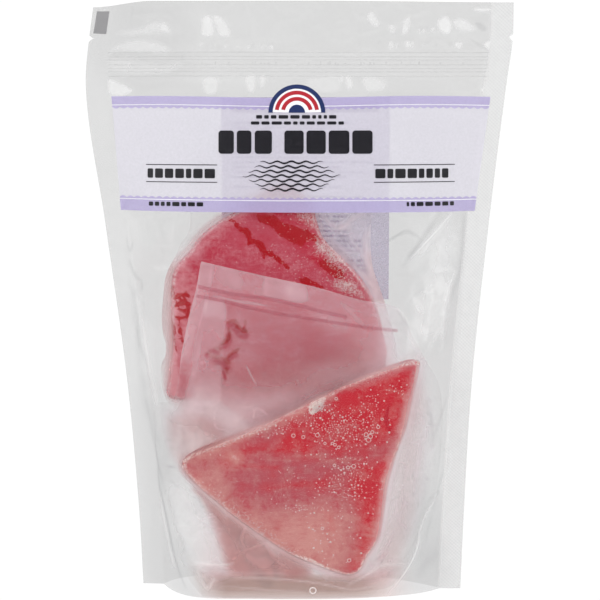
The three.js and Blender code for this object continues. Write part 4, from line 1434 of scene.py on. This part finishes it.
frontBagCreases = [
    crease([(-45.4, 170), (-46.2, 157.8), (-50.8, 142.2), (-57.4, 106.6), (-59, 99)], 0.6, 0.15, 0.08),
    crease([(-46.1, 154.8), (-41, 153.5), (-35, 152.2), (-26.5, 150.9), (-16.2, 149.2)], 0.7, 0.1, 0.22),
    crease([(24, 155), (30, 148), (38, 141)], 0.7, 0.1, 0, 0.08),
    crease([(20, 152), (26, 146), (34, 138)], 0.7, 0.1, 0.1),
    crease([(48.9, 34.3), (45.8, 28.4), (40.6, 18.3)], 0.8, 0.6, 0.4),
    crease([(35, 19), (38, 15.5)], 0.8, 0.4, 0.3),
    crease([(43.7, 18.3), (51.1, 17.7), (54.8, 15)], 0.8, 0.5, 0.3),
    crease([(-30.5, 22.8), (-27.1, 24.5), (-17.6, 27.9), (-15.4, 25.1), (-10.4, 21.1)], 0.8, 0.8, 0.5),
    crease([(-27.5, 22.4), (-21, 20.6), (-16.4, 22), (-13, 18.4)], 0.7, -0.5, 0, 0.5),
    crease([(-17.6, 27.9), (-14.8, 22.6), (-12, 19.4), (-5, 14.8)], 0.7, 0.6, 0.4),
    crease([(-28.2, 36.4), (-29.9, 29.6), (-27.1, 24)], 0.8, 0.6, 0.4),
    crease([(-30.4, 36), (-32, 29.4), (-29.6, 24)], 0.7, -0.4, 0, 0.3),
    crease([(-60.6, 15.2), (-53.9, 15.2), (-37.2, 14.9), (-35.2, 12.1)], 0.9, 0.5, 0.3),
    crease([(-53.3, 14.3), (-47.2, 5.2), (-44.4, 9.7)], 1, 0.5, 0.3),
    crease([(-27.7, 119.5), (-25, 114), (-22.5, 109.5)], 0.5, 0.3, 0.25),
    crease([(52, 142), (57, 131), (62, 121)], 0.7, 0.5, 0.22),
    crease([(60, 108), (57, 90), (54, 68), (50, 48), (47, 32)], 1.6, 0.6, 0.12),
    crease([(64, 100), (63, 82), (60, 60), (57, 40)], 1.2, 0.5, 0.08),
]
frontBagHaze = [
    # The strip above the zip, the side weld, the folded strip, then the clouded part lower down.
    area([(-51, 172.5), (9.7, 159.5), (51, 148.5), (52, 143), (7.7, 150), (-15, 153.5), (-54, 160)], 1,
        0.05),
    area([(-51, 172.5), (-44.7, 171), (-46.6, 158), (-49.3, 142), (-56.5, 105.8), (-66, 101)], 0.8, 0.09),
    area([(-47.4, 153.2), (-38.4, 151.4), (-38, 143.5), (-38.4, 131.7), (-39.5, 121.4), (-40.5, 111),
        (-42.4, 99), (-57.5, 100), (-53.2, 124), (-49.3, 142.1)], 0.7, 0.1),
    area([(-42, 168), (-32, 166), (-30, 158), (-40, 160)], 2.5, 0.08),
    area([(-8, 160), (2, 158), (4, 152), (-6, 153)], 2.5, 0.1),
    area([(4, 148), (22, 145), (24, 138), (10, 138)], 4, 0.1),
    area([(26, 144), (46, 140), (46, 120), (36, 118), (28, 130)], 5, 0.08),
    area([(-66, 106), (-30, 108), (10, 116), (40, 127), (48, 121), (20, 106), (-10, 92), (-62, 70),
        (-72, 84)], 12, 0.27),
    area([(-62, 104), (-40, 104), (-18, 94), (-26, 82), (-36, 84), (-44, 92), (-60, 94)], 6, 0.12),
    area([(-76, 99.5), (-60, 99.6), (-50, 98), (-54, 88), (-70, 80), (-77, 86)], 1.4, 0.14),
    area([(58, 120), (70, 108), (71, 80), (66, 50), (58, 26), (52, 30), (54, 60), (56, 90)], 5, 0.4),
    # The next five areas are painted highlights: lit facets of the crumples low down.
    area([(-28.1, 21.5), (-20.6, 26.8), (-12.2, 19.8), (-18.4, 15.2)], 0.9, 0.3),
    area([(-47.6, 43.9), (-42.5, 42.5), (-31.5, 20.5), (-35, 18.7)], 0.8, 0.16),
    area([(-54.3, 12.9), (-29.3, 11.4), (-38.8, 9.3), (-45.3, 1.5), (-51.9, 9.3)], 1.2, 0.22),
    area([(5, 18.7), (13.3, 15.6), (29.8, 6.8), (18.1, 5)], 1, 0.3),
    area([(29.3, 6.8), (39.4, 21.9), (45.6, 24.3), (40.8, 13.8), (54.3, 15.6), (42.2, 6.8)], 1.2, 0.24),
    area([(-44.9, 170), (-17, 164.3), (-17.9, 154), (-46.2, 158.4)], 0.5, 0.03),
    area([(-16.9, 164.3), (2, 160), (2, 151), (-17.9, 153.8)], 0.6, 0.07),
    area([(-48.6, 151.4), (-39.3, 150.7), (-38.9, 142.1), (-43.5, 144.7), (-49.1, 143.8)], 1.2, 0.08),
    area([(-72, 70), (-52, 54), (-40, 22), (-38, 4), (-50, 4), (-66, 40)], 4, 0.12),
    area([(-36, 10), (60, 10), (50, 0), (-30, 0)], 5, 0.12),
]
frontBagContacts = [
    area([(-36, 114), (-20, 119), (0, 116), (22, 108), (16, 103), (-10, 106), (-30, 108)], 6, 0.25),
    area([(-12, 142), (20, 134), (34, 124), (10, 116), (-16, 122), (-24, 134)], 9, 0.3),
]
# Painted shade: a faint darkening over the flap, then dark facets of the crumples low down.
frontBagShades = [
    area([(-30, 140), (20, 134), (40, 120), (20, 108), (-20, 112)], 10, 0.04),
    area([(-30.8, 22.9), (-27.7, 20.8), (-19.5, 13.8), (-12.9, 6.1), (-18.1, 5), (-26.7, 15.6)], 1, 0.16),
    area([(-17.7, 21.9), (-12.9, 19.1), (-10.9, 11.7), (-12.9, 7.9), (-14.3, 13.8)], 0.8, 0.22),
    area([(-42.5, 40.1), (-37, 29.6), (-32.5, 22.6), (-34.2, 29.6), (-38.7, 38.3)], 1.2, 0.1),
    area([(-30, 30), (-22, 26), (-16, 22), (-22, 20), (-30, 24)], 1.2, 0.1),
    area([(-36, 38), (-30, 36), (-29, 28), (-34, 30)], 1.5, 0.1),
]
frontBagCreases += [crease(line, width, 0, -0.3, 0.16) for line, width in contactMarks]
frontBagJuice = [
    area([(-53.8, 55.2), (-33.3, 40.3), (-12.8, 25.9), (5.1, 14.2), (-2.6, 10), (-12.8, 12), (-30, 11.6),
        (-36, 14), (-40, 26), (-45, 40), (-50, 50)], 3.6, 0.85),
    area([(-53.3, 14.2), (-33.4, 12.2), (-7.7, 12.9), (18, 9), (43.6, 14.2), (55.2, 15.5), (43.7, 3),
        (-51.4, 2)], 4, 0.3),
    area([(-60, 110), (-20, 116), (30, 126), (40, 122), (0, 96), (-50, 78), (-64, 90)], 10, 0.3),
    area([(54, 116), (62, 110), (60, 60), (52, 14), (42, 18), (46, 40), (52, 80)], 6, 0.2),
    area([(-68, 90), (-48, 90), (-38, 80), (-44, 66), (-64, 70)], 5, 0.3),
]
# The front bag's own zip: two ribs, each with its half width and its rise.
innerZip = [
    ([(-52.4, 158.9), (-43.5, 157.1), (-35, 155.4), (-24.7, 154.1), (-14.5, 152.8), (-3.4, 150.3),
        (7.7, 147.3), (24, 143.6)], 0.95, 0.4),
    ([(-53.3, 154.1), (-41, 152), (-24.8, 148.1), (-9.4, 145.1), (7.7, 142.5), (20.5, 140.5), (36, 138.2),
        (50, 136.6)], 0.8, 0.35),
]


def bagFrontDepth(x, z):
    # The front bag's near sheet: just behind the outer film, close on its steak, clear of the other.
    away = -readField(frontInside, x, z)
    flap = smoothStep(90, 120, z)
    gap = 0.35 + (frontBag["flapGap"] * flap + frontBag["sideGap"] * (1 - flap)) * smoothStep(0, 12, away)
    rise, _, _ = creaseMarks(frontBagCreases, x, z)
    ripple = 0.5 * softNoise(x, z, 15, frontBag["seed"]) + 0.3 * sharpFolds(x, z, 12, frontBag["seed"] + 1)
    loose = 0.6 * (1 - 0.75 * flap) * smoothStep(1, 8, away)
    return frontFilmDepth(x, z) + gap + loose * (1.2 - rise - ripple)


def bagBackDepth(x, z):
    front = bagFrontDepth(x, z)
    inside = readField(frontInside, x, z)
    behind = facePlane(frontSteak, x, z) + frontSteak["thickness"] + 0.5
    return front + 0.3 + np.clip(behind - front - 0.3, 0, None) * smoothStep(-0.3, 3.4, inside)


def rearBagDepth(x, z, back=1):
    # The rear bag's far sheet, or with back = 0 its near one: close on the steak, together beside it.
    side = 2 * back - 1
    inside = readField(rearInside, x, z)
    plane = facePlane(rearSteak, x, z)
    drop = rimDrop(rearSteak, np.maximum(inside, 0))
    near = plane + rearSteak["thickness"] * back - side * drop + side * 0.3
    middle = plane + rearSteak["thickness"] / 2 + side * 0.4
    return near + (middle - near) * smoothStep(0.5, -9, inside)


def rearBagFrontDepth(x, z):
    rise, _, _ = creaseMarks(rearBagCreases, x, z)
    ripple = 0.6 * softNoise(x, z, 12, rearBag["seed"]) + 0.4 * sharpFolds(x, z, 9, rearBag["seed"] + 1)
    return rearBagDepth(x, z, 0) - (ripple + rise) * smoothStep(0, -5, readField(rearInside, x, z))


rearBagCreases = [
    crease([(10.7, 196.6), (13.2, 192.2), (16.2, 189.2), (19.1, 187.4), (22.8, 187.8), (27.2, 187.4)], 1.3,
        0.7, 0.5),
    crease([(19.1, 187.4), (24.3, 190), (28.7, 193.7), (33.1, 196.3)], 1.5, 0.7, 0.45),
    crease([(46.3, 195.9), (41.9, 191.5), (37.5, 187), (35, 183.3), (34.2, 177.4), (34.3, 171.5),
        (36.1, 165.5), (37.6, 160.3), (39.1, 155.1), (39.1, 150.7)], 1.7, 0.7, 0.42),
    crease([(35, 180.4), (35.4, 171.5), (37.2, 165.5), (38.7, 159.6), (40, 154.4)], 0.6, 0.5, 0.5),
    crease([(12.5, 183.3), (16.9, 181.8), (22.8, 176.7), (30.2, 174.4)], 0.9, 0.4, 0.3),
    crease([(24, 184), (28, 178), (33, 173)], 0.9, 0.4, 0.2),
    crease([(30.2, 167), (34.7, 161.1), (38.4, 156.6)], 0.8, 0.4, 0.3),
    crease([(20.5, 185), (24, 180), (30, 178)], 0.9, -0.3, 0, 0.16),
    crease([(42, 150), (46, 138), (48.5, 124), (48.5, 106)], 1.2, 0.5, 0.12),
]
rearBagHaze = [
    area([(-73, 160), (-68, 160), (-67, 100), (-73, 100)], 2.5, 0.12),
    area([(10, 198), (34, 200), (38, 170), (42, 150), (36, 152), (24, 170)], 3, 0.16),
    area([(-50, 74), (20, 50), (44, 76), (46, 90), (0, 70), (-40, 92)], 8, 0.12),
    area([(36, 174), (47, 174), (48, 148), (40, 148)], 4, 0.44),
    area([(-66, 98), (-46, 96), (-30, 78), (-44, 72), (-62, 86)], 5, 0.2),
]
rearBagJuice = [
    area([(-73, 170), (-66, 170), (-66, 96), (-73, 96)], 3, 0.3),
    area([(-64, 96), (-40, 96), (-14, 70), (-40, 66), (-62, 84)], 8, 0.45),
    area([(-30, 74), (30, 60), (40, 80), (0, 90)], 10, 0.4),
    area([(36, 174), (47, 174), (48, 148), (40, 148)], 4, 0.3),
]


def ringPlaces(line, middle, rings):
    # Places from a middle out to a closed line, ring by ring.
    share = np.concatenate([[0.004], np.linspace(0, 1, rings)[1:]])[:, None]
    return middle[0] + (line[:, 0] - middle[0]) * share, middle[1] + (line[:, 1] - middle[1]) * share


def makeBagSheet(name, bag, depth, creases, looks, weight=1.0):
    x, z = ringPlaces(bag["line"], bag["middle"], bag["rings"])
    points = np.stack([x, depth(x, z), z], axis=-1)
    _, creaseHaze, shade = creaseMarks(creases, x, z)
    seed = bag["seed"]
    inner = insideDistance(bag["line"][::2], x, z)
    edge = bag["edge"] * smoothStep(1.6, 0.3, inner) * smoothStep(96, 124, z)
    haze = bag["haze"] + areaShare(x, z, looks["haze"], 0.5, seed + 5)
    haze = haze * (1 + 0.2 * layeredNoise(x, z, 14, seed + 6))
    haze = haze * (1 - areaShare(x, z, looks.get("contacts", []), 0.8, seed + 8))
    shade = shade + areaShare(x, z, looks.get("shades", []), 0.8, seed + 8)
    away = -readField(frontInside if bag is frontBag else rearInside, x, z)
    over = smoothStep(0.5, -2.2, away)
    haze = haze * (0.6 + 0.4 * smoothStep(0, 12, away))
    low = smoothStep(125, 108, z) * smoothStep(bag["fade"], 0, inner)
    flank = smoothStep(42, 56, np.abs(x)) * smoothStep(-2, -12, readField(rearInside, x, z))
    haze = haze * (1 - 0.6 * flank)
    haze = (haze + creaseHaze + edge) * (1 - over) * (1 - 0.85 * low)
    # Film whitens where it bends over a steak's rim; the same band is also a painted glow along the steak's
    # edges.
    reach = bag["bendReach"] * (0.6 + 0.6 * smoothStep(20, 44, x))
    rimGlow = np.clip(0.85 + 0.4 * layeredNoise(x, z, 18, seed + 11), 0, 1)
    rimGlow = np.exp(-((away - 0.2) / reach) ** 2) * rimGlow
    # Less so above the front steak's sloping top edge, where the flap hangs free.
    above = smoothStep(-4, 4, z - 95.3 - 0.44 * x) if bag is frontBag else 0
    haze = haze + bag["bend"] * rimGlow * (1 - 0.65 * above)
    if bag is frontBag:
        # Small sharp wrinkles where the sheet hangs loose: painted highlights on some and painted shade on
        # others.
        loose = smoothStep(1, 6, away) * smoothStep(104, 92, z) * smoothStep(2, 8, inner)
        light = smoothStep(0.8, 1, sharpFolds(x, z, 9, seed + 21))
        dark = smoothStep(0.84, 1, sharpFolds(x + 40, z + 17, 7, seed + 23))
        haze = haze + 0.16 * light * loose
        shade = shade + 0.16 * dark * loose
        # Painted light: a faint milky band just outside the front steak, high up, lifting the shade between
        # the steaks.
        haze = haze + 0.03 * np.exp(-((away - 3) / 5) ** 2) * smoothStep(84, 96, z)
    juice = areaShare(x, z, looks["juice"], 1.5, seed + 9) * (1 - 0.7 * low)
    juice = juice + 0.35 * rimGlow * (1 - 0.7 * smoothStep(20, 44, x))
    marks = {"haze": np.clip(haze * weight, -0.05, 0.9), "shade": shade * (1 - over), "hatch": 0 * x,
             "juice": np.clip(juice * (1 - 0.8 * over * (1 - rimGlow)), 0, 1)}
    makePiece(name, points, gridFaces(*x.shape, closed=True), innerFilm, "film", marks)


def makeRibs(name, ribs, depthAt, material):
    # Low rounded bars that lie on a film along given lines.
    grids = []
    for line, half, rise in ribs:
        path = smoothPath(line, 0.8)
        along = np.gradient(path, axis=0)
        along /= np.linalg.norm(along, axis=1, keepdims=True)
        turns = np.linspace(0, np.pi, 9)
        x = path[:, :1] - along[:, 1:] * half * np.cos(turns)
        z = path[:, 1:] + along[:, :1] * half * np.cos(turns)
        ends = np.sin(np.pi * np.linspace(0.02, 0.98, len(path)))[:, None] ** 0.2
        y = depthAt(x, z) - 0.12 - rise * np.sin(turns) * ends
        grids.append(np.stack([x, y, z], axis=-1))
    makePiece(name, *joined(grids), material, "film")


def makeOuterZip():
    # Seven fine ribs between the seals, and the pinched marks between two of them.
    rng = np.random.default_rng(221)
    ribs = []
    for level, half in ((278.1, 0.3), (275.9, 0.35), (274.3, 0.25), (271.8, 0.35), (269.9, 0.25),
                        (268.2, 0.35), (265.9, 0.3)):
        line = [(-98.5, level), (-50, level + 0.2), (0, level), (50, level - 0.1), (97, level)]
        ribs.append((line, half, 0.25))
    for _ in range(30):
        x = rng.uniform(-62, 84)
        line = [(x, 271.9), (x + 0.2, 271.9 + rng.uniform(0.8, 1.9))]
        ribs.append((line, rng.uniform(0.25, 0.5), 0.2))
    makeRibs("pouchZip", ribs, lambda x, z: frontFilmDepth(x, z) + 0.02, outerRib)


frontLooks = {"haze": frontBagHaze, "contacts": frontBagContacts, "shades": frontBagShades,
              "juice": frontBagJuice}
rearLooks = {"haze": rearBagHaze, "juice": rearBagJuice}
makeBagSheet("rearBagBack", rearBag, rearBagDepth, [], rearLooks, 0.4)
makeBagSheet("rearBagFront", rearBag, rearBagFrontDepth, rearBagCreases, rearLooks)
makeBagSheet("frontBagBack", frontBag, bagBackDepth, [], frontLooks, 0.4)
makeBagSheet("frontBagFront", frontBag, bagFrontDepth, frontBagCreases, frontLooks)
makeRibs("frontBagZip", innerZip, bagFrontDepth, innerRib)
makeOuterZip()
print("inner bags and zips made")


# Frost, bubbles and the vent ring.
# Patches of frost grains and of bubbles: the middle, the half sizes, the turn in degrees, how many, and
# then the steak or the bubbles' size.
frostPatches = [
    ((4, 194), (10, 6), -35, 150, rearSteak), ((16, 176), (15, 4), -46, 190, rearSteak),
    ((24, 157), (12, 4.5), -30, 260, rearSteak), ((19, 169), (20, 5), -50, 260, rearSteak),
    ((4, 172), (40, 26), -30, 130, rearSteak), ((9, 98), (5.5, 2.8), 42, 220, frontSteak),
    ((-28, 84), (26, 1.6), 26, 90, frontSteak), ((-26, 40), (44, 3.5), -37, 260, frontSteak),
]
bubblePatches = [
    ((23, 87), (22, 13), 8, 360, 0.31), ((36, 97), (10, 14), -10, 60, 0.27),
    ((19.1, 88), (14, 5), 4, 200, 0.28), ((0, 92), (18, 5), 24, 80, 0.26),
    ((24.3, 58), (14, 11), 0, 210, 0.28), ((28, 66), (16, 8), 0, 100, 0.28),
    ((2.6, 45.9), (12, 2.4), 0, 110, 0.24), ((-10.8, 86.7), (12, 4), 18, 110, 0.27),
    ((49.6, 109.2), (6, 8), 0, 22, 0.3), ((20, 30), (18, 16), 0, 60, 0.3),
    ((12, 62), (46, 38), 0, 160, 0.23),
]
bubbleRings = [(-3.4, 83.5, 0.9), (1.7, 82.8, 0.8), (8.9, 83.8, 1.0), (33.8, 84.1, 1.0), (36, 83.2, 1.1),
               (35.1, 81.4, 1.2), (37, 85.4, 0.8), (27.5, 67.9, 1.0), (24.6, 67.3, 0.8), (17.6, 68.3, 0.7),
               (18.5, 102.4, 0.7), (17.9, 78.9, 0.7), (25.2, 19.8, 0.9), (11.5, 36.1, 0.7),
               (16.6, 79.6, 0.6), (19.8, 77.6, 0.7), (12.8, 79.6, 0.6), (40, 88, 0.8), (42, 92, 0.6)]


def scatter(rng, middle, half, turn, count):
    # Random places, densest in a patch's middle.
    c, s = math.cos(math.radians(turn)), math.sin(math.radians(turn))
    u, v = (rng.normal(0, 0.42, count) * reach for reach in half)
    return middle[0] + u * c - v * s, middle[1] + u * s + v * c


def makeFrost():
    rng = np.random.default_rng(501)
    points, faces = [], []
    for middle, half, turn, count, steak in frostPatches:
        x, z = scatter(rng, middle, half, turn, count)
        keep = insideDistance(steak["coarseLine"], x, z) > 0.6
        x, z = x[keep], z[keep]
        inside = insideDistance(steak["coarseLine"], x, z)
        y = facePlane(steak, x, z) + rimDrop(steak, inside) - faceRelief(steak, x, z) - 0.06
        length = rng.uniform(0.5, 1.5, len(x))
        width = rng.uniform(0.12, 0.26, len(x))
        angle = rng.normal(math.radians(40), 0.9, len(x))
        lift = rng.uniform(0.05, 0.22, len(x))
        # Each grain is a low four-sided peak.
        for i in range(len(x)):
            c, s = math.cos(angle[i]), math.sin(angle[i])
            start = len(points)
            for du, dv, dy in ((-1, 0, 0), (0, -1, 0), (1, 0, 0), (0, 1, 0), (0.1, 0, -1)):
                points.append((x[i] + du * length[i] * c / 2 - dv * width[i] * s / 2, y[i] + dy * lift[i],
                               z[i] + du * length[i] * s / 2 + dv * width[i] * c / 2))
            faces += [[start + a, start + b, start + 4] for a, b in ((0, 1), (1, 2), (2, 3), (3, 0))]
            faces.append([start + 3, start + 2, start + 1, start])
    makePiece("frostCrystals", points, faces, rimeIce, "frost", smooth=False)


def glazeDepth(x, z):
    return float(facePlane(frontSteak, x, z) - faceRelief(frontSteak, x, z))


def addDome(points, faces, cx, cz, radius, sides=8):
    y = glazeDepth(cx, cz) - 0.02
    start = len(points)
    for share, rise in ((1.0, 0.0), (0.72, 0.6)):
        for a in np.linspace(0, 2 * np.pi, sides, endpoint=False):
            points.append((cx + radius * share * math.cos(a), y - rise * 0.35 * radius,
                           cz + radius * share * math.sin(a)))
    points.append((cx, y - 0.4 * radius, cz))
    for i in range(sides):
        j = (i + 1) % sides
        faces.append([start + i, start + j, start + sides + j, start + sides + i])
        faces.append([start + sides + i, start + sides + j, start + 2 * sides])
    faces.append([start + i for i in range(sides)][::-1])


def addRing(points, faces, cx, cz, radius, thick, y, sides=22):
    start = len(points)
    for i in range(sides):
        a = 2 * math.pi * i / sides
        for j in range(6):
            b = 2 * math.pi * j / 6
            r = radius + thick * math.cos(b)
            points.append((cx + r * math.cos(a), y - thick * 0.6 * math.sin(b), cz + r * math.sin(a)))
    for i in range(sides):
        for j in range(6):
            a, b = start + i * 6, start + (i + 1) % sides * 6
            faces.append([a + j, b + j, b + (j + 1) % 6, a + (j + 1) % 6])


def makeBubbles():
    # Air caught between the glaze and the film: tiny domes kept apart, and a few larger rings.
    rng = np.random.default_rng(601)
    taken = np.array([(cx, cz) for cx, cz, _ in bubbleRings])
    points, faces = [], []
    for middle, half, turn, count, size in bubblePatches:
        x, z = scatter(rng, middle, half, turn, count)
        keep = insideDistance(frontSteak["coarseLine"], x, z) > 2.5
        for cx, cz in zip(x[keep], z[keep]):
            radius = float(np.clip(size * rng.lognormal(0, 0.4), 0.12, 0.6))
            if np.hypot(taken[:, 0] - cx, taken[:, 1] - cz).min() >= 2.2 * radius + 0.2:
                taken = np.vstack([taken, [cx, cz]])
                addDome(points, faces, cx, cz, radius)
    for cx, cz, radius in bubbleRings:
        addRing(points, faces, cx, cz, radius, 0.18, glazeDepth(cx, cz) - 0.06)
    makePiece("airBubbles", points, faces, airRing, "frost")


vent = {"at": (6.6, 4.4), "radius": 1.55, "thick": 0.34}


def makeVent():
    points, faces = [], []
    cx, cz = vent["at"]
    depth = float(frontFilmDepth(np.array([cx]), np.array([cz]))[0]) - 0.1
    addRing(points, faces, cx, cz, vent["radius"], vent["thick"], depth, 40)
    makePiece("ventRing", points, faces, rimeIce, "film")


makeFrost()
makeBubbles()
makeVent()
print("frost and bubbles made")
